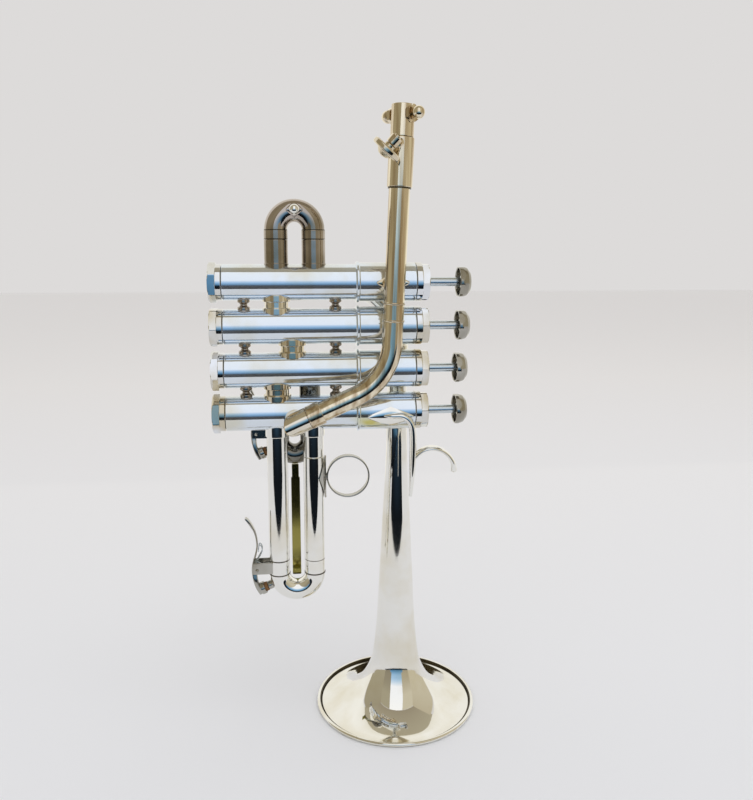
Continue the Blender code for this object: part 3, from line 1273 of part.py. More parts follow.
def stand_on_floor(root):
    """Moves everything so that the middle of its outline box stands on the origin."""
    bpy.context.view_layer.update()
    graph = bpy.context.evaluated_depsgraph_get()
    corners = []
    for obj in bpy.data.objects:
        if obj.type in {"MESH", "CURVE"} and not obj.hide_render:
            solid = obj.evaluated_get(graph)
            mesh = solid.to_mesh()
            corners += [solid.matrix_world @ vertex.co for vertex in mesh.vertices]
            solid.to_mesh_clear()
    low = [min(corner[axis] for corner in corners) for axis in range(3)]
    high = [max(corner[axis] for corner in corners) for axis in range(3)]
    root.location = (-(low[0] + high[0]) / 2, -(low[1] + high[1]) / 2, -low[2])


def main():
    clear_scene()
    silver = look("silver_plate", (0.80, 0.78, 0.73), 0.12, 1.0)
    steel = look("valve_steel", (0.58, 0.57, 0.55), 0.25, 1.0)
    cork = look("cork", (0.34, 0.20, 0.10), 0.85, 0.0)
    root = empty("instrument", (0, 0, 0))
    shells = clearances(root)
    for n in range(4):
        valve_casing(n, silver, root)
        bottom_cap(n, silver, root)
        top_cap(n, silver, root)
        stroke = empty(f"valve_{n + 1}", (0, VALVE_PLANE_Y, valve_z(n)), root, (0, 90, 0))
        piston(n, steel, stroke, root)
        finger_button(n, silver, stroke)
    for n in range(3):
        link_tube(n, silver, root, shells)
        for number in (0, 1):
            valve_brace(n, number, silver, root, shells)
    first_slide_legs(silver, root, shells)
    second_slide_legs(silver, root, shells)
    third_slide_legs(silver, root, shells)
    fourth_slide_legs(silver, root, shells)
    first_slide(silver, root)
    second_slide(silver, root)
    third_slide(silver, cork, steel, root)
    fourth_slide(silver, cork, steel, root)
    leadpipe_end(silver, root, shells)
    leadpipe_brace(silver, root)
    sleeve(silver, root)
    thumbscrew(silver, root)
    receiver(silver, root)
    bell(silver, root)
    bell_bow(silver, root, shells)
    bell_brace(silver, root, shells)
    pinky_hook(silver, root, shells)
    stand_on_floor(root)


main()
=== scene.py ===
"""The looks of a silver-plated piccolo trumpet that stands on its bell.

Lengths are millimetres in the bell's own frame: its axis is X = Y = 0 and its rim stands on
Z = 0. The valves lie along X in the upright plane VALVE_Y, with their buttons towards +X.
"""

import json
import math

import bmesh
import bpy
from mathutils import Matrix, Vector


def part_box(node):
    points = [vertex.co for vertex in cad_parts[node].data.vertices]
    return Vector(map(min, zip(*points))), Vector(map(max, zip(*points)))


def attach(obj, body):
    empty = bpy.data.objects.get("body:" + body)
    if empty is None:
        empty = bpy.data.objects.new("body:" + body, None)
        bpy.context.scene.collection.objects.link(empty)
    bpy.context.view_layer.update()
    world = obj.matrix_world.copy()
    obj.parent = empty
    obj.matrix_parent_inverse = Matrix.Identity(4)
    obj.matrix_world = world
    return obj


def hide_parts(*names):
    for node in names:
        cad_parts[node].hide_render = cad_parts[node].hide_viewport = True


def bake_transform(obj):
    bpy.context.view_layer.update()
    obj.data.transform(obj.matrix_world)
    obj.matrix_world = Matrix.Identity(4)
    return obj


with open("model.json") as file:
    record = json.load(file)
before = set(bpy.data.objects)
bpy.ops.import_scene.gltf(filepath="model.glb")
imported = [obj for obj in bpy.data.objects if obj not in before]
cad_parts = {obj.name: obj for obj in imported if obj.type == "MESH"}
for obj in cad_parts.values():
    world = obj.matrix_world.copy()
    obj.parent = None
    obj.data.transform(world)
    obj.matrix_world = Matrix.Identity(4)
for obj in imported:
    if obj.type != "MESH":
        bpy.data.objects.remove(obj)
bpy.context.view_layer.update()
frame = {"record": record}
bell_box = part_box("bell")
BELL_AXIS = (Vector(bell_box[0]) + Vector(bell_box[1])) / 2.0
BELL_AXIS.z = 0.0
MM = 0.001

# Valve block
PITCH = 24.4
VALVE_Y = -18.0
FIRST_VALVE_Z = 266.8
LOWER_R = 9.9
UPPER_R = 10.75
BEAD_R = 11.4
BEAD_X = -25.3
LEFT_SEAM = -99.3
RIGHT_SEAM = 7.1
BOTTOM_BODY = 3.4
TOP_BODY = 3.6
CAP_HEX = 4.0
CAP_OVER = 0.05
HEX_CORNER = 11.2
BOTTOM_TURNS = (34.5, 3.1, 16.7, 23.3)
TOP_TURNS = (1.6, 56.5, 55.9, 52.7)
STROKE = 15.0
BUTTON_REST = (2.2, 2.0, 1.1, 1.3)
BUTTON_R = 8.75
BUTTON_FLAT = 8.15
BUTTON_HEIGHT = 6.6
STEM_R = 2.55
PISTON_R = 8.3

# Tubes, by valve where there are four
LINK_X = (-70.1, -61.8, -70.5)
TUBE_R = 6.5
BRACE_X = (-88.0, -37.5)
SLIDE_X = (-59.5, -61.3, -61.3, -61.05)
SLIDE_SPACING = (20.4, 18.7, 18.7, 20.6)
LEG_R = (6.5, 6.15, 6.15, 5.85)
BOW_R = (6.2, 6.0, 6.0, 6.0)
COLLAR_OVER = (0.25, 0.25, 0.0, 0.75)
COLLAR_HIGH = (0.35, 0.35, 0.0, 3.6)
SLIDE_WALL = 0.4
GAP = 0.3

# Seams and bow middles of the slides
ENGAGED = (11.0, 5.0, 14.0, 66.0)
RUN = (5.5, 4.55, 10.6, 9.1)
FIRST_SEAM_Z = 289.9
SECOND_SEAM_Y = -3.0
THIRD_Y = -1.5
THIRD_SEAM_Z = 184.75
THIRD_BEND = 7.0
FOURTH_SEAM_Z = 106.0
FOURTH_LONG_LEG_Z = 167.7
LONG_LEG_SOCKET = 4.0
KNOB_R = 2.8
PULL_BAR = (70.0, 2.6, 0.8, 8.4, 2.05, 5.8, 1.4)

# Water keys, measured from the pin
KEY_LEVER = ((-6.1, 30.6, 0.6, 2.0), (-4.0, 28.0, 0.75, 2.2), (-0.9, 22.0, 0.5, 1.9), (0.2, 15.0, 0.45, 1.5),
             (-0.5, 9.5, 0.45, 1.2), (-2.0, 4.0, 0.6, 0.9), (-2.1, 0.0, 1.2, 0.9), (-1.7, -3.2, 1.5, 0.9),
             (-1.2, -7.2, 1.4, 1.7), (0.1, -11.8, 1.3, 1.9), (1.9, -16.0, 0.9, 1.6))
KEY_HALF = 3.2
PIN_OFF_LEG = 7.05
PIN_ABOVE_BOW = 4.0
NIPPLE_ANGLE = 203.0
SPRING_WIRE = 0.3
SPRING_R = 2.46
SPRING_PITCH = 1.05
SPRING_TURNS = 4.0 / 3.0
SPRING_ARM = ((0.85, 6.4), (3.0, 10.6), (2.8, 13.3), (1.8, 14.6), (1.2, 13.4), (0.85, 10.7))

# Leadpipe
PIPE_Y = -36.3
PIPE_R = 5.6
PIPE_LEAN = 2.4
PIPE_BEND_Z = 235.0
PIPE_BEND_X = -7.8
PIPE_BEND_R = 34.0
PIPE_FALL = 24.0
PIPE_RUN = 25.7
PIPE_BEADS = (256.0, 246.7)
PIPE_ENTRY_X = -60.8
SLEEVE_Z = (316.7, 341.7)
RECEIVER_LENGTH = 16.5
THUMB_CENTRE = (-12.805, -48.503, 334.2)
THUMB_AXIS = (-0.66, 0.17, -0.73)

# Bell: heights and shares of the way from the tube's radius to the rim's
BELL_TOP_Z = 228.0
BELL_R = 5.75
BELL_WALL = 0.7
RIM_R = 50.0
RIM_BEAD = 1.25
BELL_TAPER_Z = 202.0
FLARE = ((158.0, 0.019), (120.0, 0.064), (94.0, 0.094), (54.0, 0.142), (33.0, 0.193), (24.0, 0.250),
         (16.0, 0.349), (10.0, 0.480), (5.5, 0.638), (2.0, 0.819), (1.1, 0.923))

# Pinky hook: x, rise over the fourth valve, half thickness and half width
HOOK_Y = -30.2
HOOK_ARM = ((-11.4, -0.7, 0.5, 0.5), (-6.5, -0.9, 1.5, 2.0), (-0.5, -1.1, 1.9, 3.2), (3.4, -4.4, 1.9, 3.6),
            (4.9, -10.0, 1.8, 3.6), (5.2, -20.0, 1.8, 3.5), (4.8, -34.0, 1.6, 2.9), (4.0, -48.0, 0.9, 1.3))
HOOK_CURL = ((5.4, -26.0, 1.2, 2.6), (8.6, -22.6, 1.3, 3.2), (12.0, -20.6, 1.3, 3.7), (16.6, -19.9, 1.3, 3.9),
             (21.2, -21.2, 1.3, 3.8), (25.4, -24.4, 1.3, 3.4), (28.2, -29.0, 1.4, 2.9), (28.9, -33.6, 1.7, 2.2))

# The sulphur stain's middle, and how much nearer its edge is along each axis
STAIN = (-19.0, -27.0, 189.0)
STAIN_SCALE = (1.0, 1.6, 2.0)

UP, DOWN = Vector((0, 0, 1)), Vector((0, 0, -1))
RIGHT, LEFT = Vector((1, 0, 0)), Vector((-1, 0, 0))
FRONT, BACK = Vector((0, -1, 0)), Vector((0, 1, 0))


def valve_z(index):
    return FIRST_VALVE_Z - index * PITCH


def linear(code):
    """An sRGB hex colour as linear red, green and blue."""
    parts = [int(code[k:k + 2], 16) / 255.0 for k in (1, 3, 5)]
    return tuple(c / 12.92 if c <= 0.04045 else ((c + 0.055) / 1.055) ** 2.4 for c in parts) + (1.0,)


def add_node(tree, kind, links=(), fixed=(), **settings):
    """Adds a node with its properties, its fixed socket values and its links, by socket name or number."""
    node = tree.nodes.new(kind)
    for name, value in settings.items():
        setattr(node, name, value)
    for socket, value in fixed:
        node.inputs[socket].default_value = value
    for socket, source in links:
        tree.links.new(source, node.inputs[socket])
    return node


def new_material(name, metallic, roughness):
    """A material with one Principled shader, and the coordinates that its patterns lie in."""
    material = bpy.data.materials.new(name)
    material.use_nodes = True
    tree = material.node_tree
    shader = tree.nodes["Principled BSDF"]
    shader.inputs["Metallic"].default_value = metallic
    shader.inputs["Roughness"].default_value = roughness
    return material, tree, shader, add_node(tree, "ShaderNodeTexCoord").outputs["Object"]


def silver_plate(name, clean, stained, edges, rough, haze=0.0, spun=False, stretch=(1.0, 1.0, 1.0)):
    """Silver plate with soft clouds of tarnish, faint wipe marks and a fine grain.

    The clouds give the long mirrors their slow change from warm to cool, and a stretch draws them
    out into the streaks that handling leaves along a pipe. The wipe marks keep
    the highlights from looking like glass. The grain lays a haze over the dark reflections.
    A spun finish draws its reflections out along X, under a thin milky film that lifts its darks.
    It has one sulphur stain, low on the fourth casing, whose yellow breaks up the even blue.
    """
    material, tree, shader, where = new_material(name, 0.88 if spun else 1.0, rough[0])
    drawn = add_node(tree, "ShaderNodeMapping", [("Vector", where)], [("Scale", stretch)])
    cloud = add_node(tree, "ShaderNodeTexNoise", [("Vector", drawn.outputs[0])], [("Scale", 38.0), ("Detail", 3.0)])
    tint = add_node(tree, "ShaderNodeValToRGB", [("Fac", cloud.outputs["Fac"])])
    tint.color_ramp.elements[0].position, tint.color_ramp.elements[1].position = edges
    tint.color_ramp.elements[0].color = linear(stained)
    tint.color_ramp.elements[1].color = linear(clean)
    dull = add_node(tree, "ShaderNodeMapRange", [("Value", cloud.outputs["Fac"])],
                    [("From Min", edges[0]), ("From Max", edges[1]), ("To Min", rough[1]), ("To Max", rough[0])])
    wipes = add_node(tree, "ShaderNodeMapping", [("Vector", where)], [("Scale", (260.0, 260.0, 900.0))])
    marks = add_node(tree, "ShaderNodeTexNoise", [("Vector", wipes.outputs[0])], [("Scale", 1.0), ("Detail", 2.0)])
    bump = add_node(tree, "ShaderNodeBump", [("Height", marks.outputs["Fac"])],
                    [("Strength", 0.02), ("Distance", 0.0001)])
    tree.links.new(tint.outputs["Color"], shader.inputs["Base Color"])
    grain = add_node(tree, "ShaderNodeTexNoise", [("Vector", where)], [("Scale", 6000.0), ("Detail", 1.0)])
    pits = add_node(tree, "ShaderNodeMapRange", [("Value", grain.outputs["Fac"])],
                    [("From Min", 0.35), ("From Max", 0.65), ("To Min", 0.0), ("To Max", haze)])
    rough_all = add_node(tree, "ShaderNodeMath", [(0, dull.outputs["Result"]), (1, pits.outputs["Result"])],
                         operation="ADD")
    tree.links.new(rough_all.outputs[0], shader.inputs["Roughness"])
    tree.links.new(bump.outputs["Normal"], shader.inputs["Normal"])
    if spun:
        spot = add_node(tree, "ShaderNodeMapping", [("Vector", where)],
                        [("Location", tuple(-(a + c * MM) * s for a, c, s in zip(BELL_AXIS, STAIN, STAIN_SCALE))),
                         ("Scale", STAIN_SCALE)])
        away = add_node(tree, "ShaderNodeVectorMath", [(0, spot.outputs[0])], operation="LENGTH")
        ragged = add_node(tree, "ShaderNodeMath", [(0, cloud.outputs["Fac"])], [(1, 0.03)], operation="MULTIPLY")
        reach = add_node(tree, "ShaderNodeMath", [(0, away.outputs["Value"]), (1, ragged.outputs[0])],
                         operation="ADD")
        stain = add_node(tree, "ShaderNodeMapRange", [("Value", reach.outputs[0])],
                         [("From Min", 0.019), ("From Max", 0.026), ("To Min", 0.85), ("To Max", 0.0)])
        mixed = add_node(tree, "ShaderNodeMix", [("Factor", stain.outputs["Result"]), (6, tint.outputs["Color"])],
                         [(7, linear("#C9BE4E"))], data_type="RGBA")
        tree.links.new(mixed.outputs[2], shader.inputs["Base Color"])
        lay = add_node(tree, "ShaderNodeTangent", direction_type="RADIAL", axis="X")
        tree.links.new(lay.outputs["Tangent"], shader.inputs["Tangent"])
        shader.inputs["Anisotropic"].default_value = 0.8
        shader.inputs["Anisotropic Rotation"].default_value = 0.25
    return material


def ground_nickel_alloy():
    """Ground nickel alloy of stems and spring wire: steel blue, with fine turning marks that grey it."""
    material, tree, shader, where = new_material("ground_nickel_alloy", 1.0, 0.2)
    marks = add_node(tree, "ShaderNodeTexNoise", [("Vector", where)], [("Scale", 900.0), ("Detail", 2.0)])
    rough = add_node(tree, "ShaderNodeMapRange", [("Value", marks.outputs["Fac"])],
                     [("To Min", 0.12), ("To Max", 0.30)])
    shader.inputs["Base Color"].default_value = linear("#CDD5DA")
    tree.links.new(rough.outputs["Result"], shader.inputs["Roughness"])
    return material


def cut_cork():
    """Cut cork: matt brown with darker grains, so that it doesn't read as metal beside the cup."""
    material, tree, shader, where = new_material("cut_cork", 0.0, 0.85)
    grains = add_node(tree, "ShaderNodeTexNoise", [("Vector", where)], [("Scale", 1600.0), ("Detail", 4.0)])
    tint = add_node(tree, "ShaderNodeValToRGB", [("Fac", grains.outputs["Fac"])])
    tint.color_ramp.elements[0].color = linear("#4A2C14")
    tint.color_ramp.elements[1].color = linear("#A67844")
    tree.links.new(tint.outputs["Color"], shader.inputs["Base Color"])
    return material


POLISHED = silver_plate("buffed_silver_plate", "#F3F2ED", "#E8E3D4", (0.34, 0.58), (0.035, 0.09))
SPUN = silver_plate("spun_silver_plate", "#E4ECF4", "#DEDDD2", (0.30, 0.52), (0.05, 0.10), spun=True)
CAP = silver_plate("turned_silver_plate", "#E8EBEF", "#CFC6B0", (0.36, 0.60), (0.05, 0.12))
TARNISHED = silver_plate("handled_silver_plate", "#E6DFD0", "#CDBB98", (0.36, 0.62), (0.07, 0.15))
BROWNED = silver_plate("browned_silver_plate", "#EFE4CC", "#B39C7C", (0.34, 0.60), (0.08, 0.16), stretch=(8.0, 8.0, 0.35))
# Brass showing through the plate, darkened with painted shade for the pull bar, which sits in shadow between the slide
# tubes.
GOLDEN = silver_plate("brass_under_plate_with_painted_shade", "#98904F", "#645C34", (0.34, 0.60), (0.10, 0.20))
SOLDER = silver_plate("brazed_silver_solder", "#C9A765", "#8F6A34", (0.36, 0.60), (0.16, 0.26))
DARKENED = silver_plate("sulphur_darkened_silver_plate", "#BCB2AA", "#928878", (0.36, 0.62), (0.06, 0.12))
# Painted shade: a near-black plate for thin bands laid over joints and creases, standing in for the shade in their
# grooves.
SEAM = silver_plate("painted_seam_shade_silver", "#57503F", "#2E2920", (0.34, 0.62), (0.24, 0.40))
# Painted shade: a darker copy of the plate for the third slide, standing in for the shade it sits in behind the fourth
# slide's legs.
SHADED = silver_plate("painted_shade_silver_plate", "#807D75", "#5A574D", (0.36, 0.62), (0.10, 0.20))
WORN = silver_plate("finger_worn_silver_plate", "#B8B6AF", "#8E8879", (0.34, 0.60), (0.10, 0.20))
NICKEL = ground_nickel_alloy()
CORK = cut_cork()


def new_tree(name, inputs, out):
    """An empty geometry tree with named inputs, and its input sockets."""
    tree = bpy.data.node_groups.new(name, "GeometryNodeTree")
    for title, kind, value in inputs:
        socket = tree.interface.new_socket(title, in_out="INPUT", socket_type="NodeSocket" + kind)
        if value is not None:
            socket.default_value = value
    tree.interface.new_socket(out, in_out="OUTPUT", socket_type="NodeSocketGeometry")
    return tree, add_node(tree, "NodeGroupInput").outputs


def end_tree(tree, given, shape, out):
    """Realizes what the tree made, gives it its finish and hands it out."""
    real = add_node(tree, "GeometryNodeRealizeInstances", [("Geometry", shape)])
    shown = add_node(tree, "GeometryNodeSetMaterial", [("Geometry", real.outputs[0]), ("Material", given["Finish"])])
    add_node(tree, "NodeGroupOutput", [(out, shown.outputs[0])])
    return tree


def turned_tree():
    """Turns an outline of radii along X and heights along Z about Z, cut to a hexagonal bar where Flat is small."""
    tree, given = new_tree("turned_outline", (
        ("Outline", "Geometry", None), ("Points", "Int", 8), ("Sides", "Int", 96), ("Flat", "Float", 1000.0),
        ("Turn", "Float", 0.0), ("Finish", "Material", None)), "Solid")
    columns = add_node(tree, "ShaderNodeMath", [(0, given["Sides"])], [(1, 1.0)], operation="ADD")
    grid = add_node(tree, "GeometryNodeMeshGrid", [("Vertices X", columns.outputs[0]),
                                                   ("Vertices Y", given["Points"])])
    index = add_node(tree, "GeometryNodeInputIndex")
    share = add_node(tree, "ShaderNodeMath", [(0, index.outputs[0]), (1, given["Points"])], operation="DIVIDE")
    column = add_node(tree, "ShaderNodeMath", [(0, share.outputs[0])], operation="FLOOR")
    row = add_node(tree, "ShaderNodeMath", [(0, index.outputs[0]), (1, given["Points"])], operation="FLOORED_MODULO")
    place = add_node(tree, "GeometryNodeInputPosition")
    spot = add_node(tree, "GeometryNodeSampleIndex", [("Geometry", given["Outline"]), ("Value", place.outputs[0]),
                                                      ("Index", row.outputs[0])], data_type="FLOAT_VECTOR")
    parts = add_node(tree, "ShaderNodeSeparateXYZ", [(0, spot.outputs[0])])
    step = add_node(tree, "ShaderNodeMath", [(1, given["Sides"])], [(0, math.tau)], operation="DIVIDE")
    angle = add_node(tree, "ShaderNodeMath", [(0, column.outputs[0]), (1, step.outputs[0])], operation="MULTIPLY")
    from_corner = add_node(tree, "ShaderNodeMath", [(0, angle.outputs[0]), (1, given["Turn"])], operation="SUBTRACT")
    sixth = add_node(tree, "ShaderNodeMath", [(0, from_corner.outputs[0])], [(1, math.pi / 3)],
                     operation="FLOORED_MODULO")
    away = add_node(tree, "ShaderNodeMath", [(0, sixth.outputs[0])], [(1, math.pi / 6)], operation="SUBTRACT")
    slant = add_node(tree, "ShaderNodeMath", [(0, away.outputs[0])], operation="COSINE")
    flat = add_node(tree, "ShaderNodeMath", [(0, given["Flat"]), (1, slant.outputs[0])], operation="DIVIDE")
    radius = add_node(tree, "ShaderNodeMath", [(0, parts.outputs["X"]), (1, flat.outputs[0])], operation="MINIMUM")
    cosine = add_node(tree, "ShaderNodeMath", [(0, angle.outputs[0])], operation="COSINE")
    sine = add_node(tree, "ShaderNodeMath", [(0, angle.outputs[0])], operation="SINE")
    x = add_node(tree, "ShaderNodeMath", [(0, radius.outputs[0]), (1, cosine.outputs[0])], operation="MULTIPLY")
    y = add_node(tree, "ShaderNodeMath", [(0, radius.outputs[0]), (1, sine.outputs[0])], operation="MULTIPLY")
    around = add_node(tree, "ShaderNodeCombineXYZ", [(0, x.outputs[0]), (1, y.outputs[0]), (2, parts.outputs["Z"])])
    moved = add_node(tree, "GeometryNodeSetPosition", [("Geometry", grid.outputs[0]), ("Position", around.outputs[0])])
    closed = add_node(tree, "GeometryNodeMergeByDistance", [("Geometry", moved.outputs[0])], [("Distance", 0.0005)])
    return end_tree(tree, given, closed.outputs[0], "Solid")


def tube_tree():
    """A round tube along a line of points, as wide at each one as its reach says."""
    tree, given = new_tree("tube_along_route", (
        ("Route", "Geometry", None), ("Sides", "Int", 64), ("Finish", "Material", None)), "Tube")
    line = add_node(tree, "GeometryNodeMeshToCurve", [("Mesh", given["Route"])])
    reach = add_node(tree, "GeometryNodeInputNamedAttribute", (), [("Name", "reach")], data_type="FLOAT")
    ring = add_node(tree, "GeometryNodeCurvePrimitiveCircle", [("Resolution", given["Sides"])], [("Radius", 1.0)])
    tube = add_node(tree, "GeometryNodeCurveToMesh", [("Curve", line.outputs[0]), ("Profile Curve", ring.outputs[0]),
                                                      ("Scale", reach.outputs[0])], [("Fill Caps", True)])
    return end_tree(tree, given, tube.outputs[0], "Tube")


def wire_tree():
    """A round wire of one radius on a smooth curve through a line of points."""
    tree, given = new_tree("wire_along_route", (
        ("Route", "Geometry", None), ("Radius", "Float", 0.3), ("Sides", "Int", 12), ("Points", "Int", 300),
        ("Finish", "Material", None)), "Wire")
    line = add_node(tree, "GeometryNodeMeshToCurve", [("Mesh", given["Route"])])
    kind = add_node(tree, "GeometryNodeCurveSplineType", [("Curve", line.outputs[0])], spline_type="CATMULL_ROM")
    even = add_node(tree, "GeometryNodeResampleCurve", [("Curve", kind.outputs[0]), ("Count", given["Points"])])
    ring = add_node(tree, "GeometryNodeCurvePrimitiveCircle", [("Radius", given["Radius"]),
                                                              ("Resolution", given["Sides"])])
    wire = add_node(tree, "GeometryNodeCurveToMesh", [("Curve", even.outputs[0]), ("Profile Curve", ring.outputs[0])],
                    [("Fill Caps", True)])
    return end_tree(tree, given, wire.outputs[0], "Wire")


def round_tree():
    """Copies of one solid, spread evenly round Z."""
    tree, given = new_tree("copies_round_axis", (
        ("Solid", "Geometry", None), ("Count", "Int", 2), ("Finish", "Material", None)), "Copies")
    spots = add_node(tree, "GeometryNodeMeshLine", [("Count", given["Count"])], [("Offset", (0.0, 0.0, 0.0))])
    index = add_node(tree, "GeometryNodeInputIndex")
    step = add_node(tree, "ShaderNodeMath", [(1, given["Count"])], [(0, math.tau)], operation="DIVIDE")
    turn = add_node(tree, "ShaderNodeMath", [(0, index.outputs[0]), (1, step.outputs[0])], operation="MULTIPLY")
    spin = add_node(tree, "ShaderNodeCombineXYZ", [("Z", turn.outputs[0])])
    turned = add_node(tree, "FunctionNodeEulerToRotation", [(0, spin.outputs[0])])
    copies = add_node(tree, "GeometryNodeInstanceOnPoints", [("Points", spots.outputs[0]), ("Instance", given["Solid"]),
                                                            ("Rotation", turned.outputs[0])])
    return end_tree(tree, given, copies.outputs[0], "Copies")


TURNED = turned_tree()
TUBE = tube_tree()
WIRE = wire_tree()
ROUND = round_tree()


def grown(bm, tree, source, settings, lie=None):
    """Adds to a mesh what a tree makes from another one."""
    helper = bpy.data.objects.new("source", source)
    bpy.context.collection.objects.link(helper)
    modifier = helper.modifiers.new("grow", "NODES")
    modifier.node_group = tree
    for item in tree.interface.items_tree:
        if item.in_out == "INPUT" and item.name in settings:
            modifier[item.identifier] = settings[item.name]
    made = helper.evaluated_get(bpy.context.evaluated_depsgraph_get())
    mesh = bpy.data.meshes.new_from_object(made)
    if lie:
        mesh.transform(lie)
    before = len(bm.faces)
    bm.from_mesh(mesh)
    bm.faces.ensure_lookup_table()
    for face in bm.faces[before:]:
        face.material_index = 0
    bpy.data.objects.remove(helper)
    bpy.data.meshes.remove(mesh)


def line_mesh(points, reach=()):
    """A mesh of one line of points, with how wide a tube is at each."""
    mesh = bpy.data.meshes.new("line")
    mesh.from_pydata([tuple(p) for p in points], [(k, k + 1) for k in range(len(points) - 1)], [])
    if reach:
        mesh.attributes.new("reach", "FLOAT", "POINT").data.foreach_set("value", reach)
    return mesh


def body_of(node):
    for name, nodes in frame["record"]["behaviour"]["bodies"].items():
        if node in nodes:
            return name
    raise KeyError(node)


def finish_piece(name, bm, *materials, keep_sharp=38.0, riding=True):
    """Makes the mesh a piece in the shared frame that stands for its CAD node."""
    bmesh.ops.remove_doubles(bm, verts=bm.verts, dist=1e-4)
    bmesh.ops.recalc_face_normals(bm, faces=bm.faces)
    bm.transform(Matrix.Translation(BELL_AXIS) @ Matrix.Scale(MM, 4))
    mesh = bpy.data.meshes.new("look_" + name)
    bm.to_mesh(mesh)
    bm.free()
    mesh.shade_smooth()
    mesh.set_sharp_from_angle(angle=math.radians(keep_sharp))
    for material in materials:
        mesh.materials.append(material)
    piece = bpy.data.objects.new("look_" + name, mesh)
    bpy.context.collection.objects.link(piece)
    if riding:
        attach(piece, body_of(name))
    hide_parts(name)
    return piece


def rounded(outline, radius, closed=False, steps=4):
    """The outline with each corner turned into a small arc."""
    points = [Vector(p[:2]) for p in outline]
    count = len(points)
    out = []
    for k, corner in enumerate(points):
        if not closed and k in (0, count - 1):
            out.append(corner)
            continue
        before, after = points[k - 1], points[(k + 1) % count]
        reach = min(radius, 0.45 * (before - corner).length, 0.45 * (after - corner).length)
        start = corner + (before - corner).normalized() * reach
        end = corner + (after - corner).normalized() * reach
        for n in range(steps + 1):
            t = n / steps
            out.append(start * (1 - t) ** 2 + corner * 2 * t * (1 - t) + end * t * t)
    return held(out)


def held(points, near=0.3):
    """The points with two more near the ends of each long stretch, which keep its shading true."""
    out = [points[0]]
    for before, after in zip(points, points[1:]):
        if (after - before).length > 4 * near:
            step = (after - before).normalized() * near
            out += [before + step, after - step]
        out.append(after)
    return out


def smooth(points, steps):
    """Points on a smooth curve through the given ones."""
    out = []
    for k in range(len(points) - 1):
        p = [Vector(points[min(max(k + d, 0), len(points) - 1)]) for d in (-1, 0, 1, 2)]
        for n in range(steps):
            t = n / steps
            out.append(0.5 * (2 * p[1] + (p[2] - p[0]) * t + (2 * p[0] - 5 * p[1] + 4 * p[2] - p[3]) * t * t
                              + (3 * p[1] - p[0] - 3 * p[2] + p[3]) * t ** 3))
    out.append(Vector(points[-1]))
    return out


def basis(toward, side):
    """A turn whose Z points along toward and whose X lies near side."""
    z = Vector(toward).normalized()
    x = Vector(side) - z * z.dot(Vector(side))
    if x.length < 1e-3:
        x = Vector((1.0, 0.0, 0.0)) - z * z.x
    x.normalize()
    return Matrix((x, z.cross(x), z)).transposed()


def turn_solid(bm, outline, place=(0, 0, 0), toward=UP, sides=96, closed=False, flat=1000.0, turn=0.0, side=BACK):
    """Adds a turned solid from (radius, height) points. A flat cuts it to a hexagon with a corner at the turn."""
    points = [(max(p[0], 0.0), 0.0, p[1]) for p in outline]
    if closed:
        points.append(points[0])
    points = held([Vector(p) for p in points])
    lie = Matrix.Translation(place) @ basis(toward, side).to_4x4()
    grown(bm, TURNED, line_mesh(points), {"Points": len(points), "Sides": sides, "Flat": flat,
                                          "Turn": math.radians(turn), "Finish": POLISHED}, lie)


class Route:
    """Walks along a tube's middle line and notes how wide the tube is there."""

    def __init__(self, start, heading, radius):
        self.at = Vector(start)
        self.heading = Vector(heading).normalized()
        self.points = []
        self.reach = []
        self.note(radius)

    def note(self, radius):
        self.points.append(self.at.copy())
        self.reach.append(radius)

    def ahead(self, length, radius):
        """Goes straight on. A long stretch gets a note near each end, which keeps its shading true."""
        parts = (0.3, length - 0.6, 0.3) if length > 1.2 else (length,)
        was, gone = self.reach[-1], 0.0
        for part in parts:
            gone += part
            self.at = self.at + self.heading * part
            self.note(was + (radius - was) * gone / length)

    def step(self, radius, over=0.12):
        """A step in the radius, with its edges a little eased."""
        was = self.reach[-1]
        self.ahead(over * 0.2, was + (radius - was) * 0.25)
        self.ahead(over * 0.3, was + (radius - was) * 0.8)
        self.ahead(over * 0.5, radius)

    def turn(self, axis, angle, bend, radius, steps=36):
        axis = Vector(axis).normalized()
        centre = self.at + axis.cross(self.heading) * bend
        step = Matrix.Rotation(math.radians(angle / steps), 3, axis)
        for _ in range(steps):
            self.at = centre + step @ (self.at - centre)
            self.heading = step @ self.heading
            self.note(radius)

    def tube(self, bm, sides=64):
        grown(bm, TUBE, line_mesh(self.points, self.reach), {"Sides": sides, "Finish": POLISHED})


def ball(bm, radius, centre, toward=UP, sides=40):
    steps = 18
    outline = [(radius * math.sin(math.pi * n / steps), radius * math.cos(math.pi * n / steps))
               for n in range(steps + 1)]
    outline[0], outline[-1] = (0.0, radius), (0.0, -radius)
    turn_solid(bm, outline, centre, toward, sides)


def bar(bm, stations, plane_y, sides=24, square=3.0, ridge=0.0):
    """A bar in an XZ plane through stations of x, z, half thickness and half width. A ridge raises its front middle."""
    rings = []
    for k, (x, z, thick, wide) in enumerate(stations):
        before, after = stations[max(k - 1, 0)], stations[min(k + 1, len(stations) - 1)]
        along = Vector((after[0] - before[0], after[1] - before[1])).normalized()
        ring = []
        for n in range(sides):
            angle = math.tau * n / sides
            c, s = math.cos(angle), math.sin(angle)
            grow = (abs(c) ** square + abs(s) ** square) ** (-1.0 / square)
            out = c * grow * thick * (1.0 + ridge * (1.0 - abs(s)))
            ring.append(bm.verts.new((x - along.y * out, plane_y + s * grow * wide, z + along.x * out)))
        rings.append(ring)
    for one, two in zip(rings, rings[1:]):
        for n in range(sides):
            bm.faces.new((one[n - 1], one[n], two[n], two[n - 1]))
    bm.faces.new(rings[0])
    bm.faces.new(rings[-1])


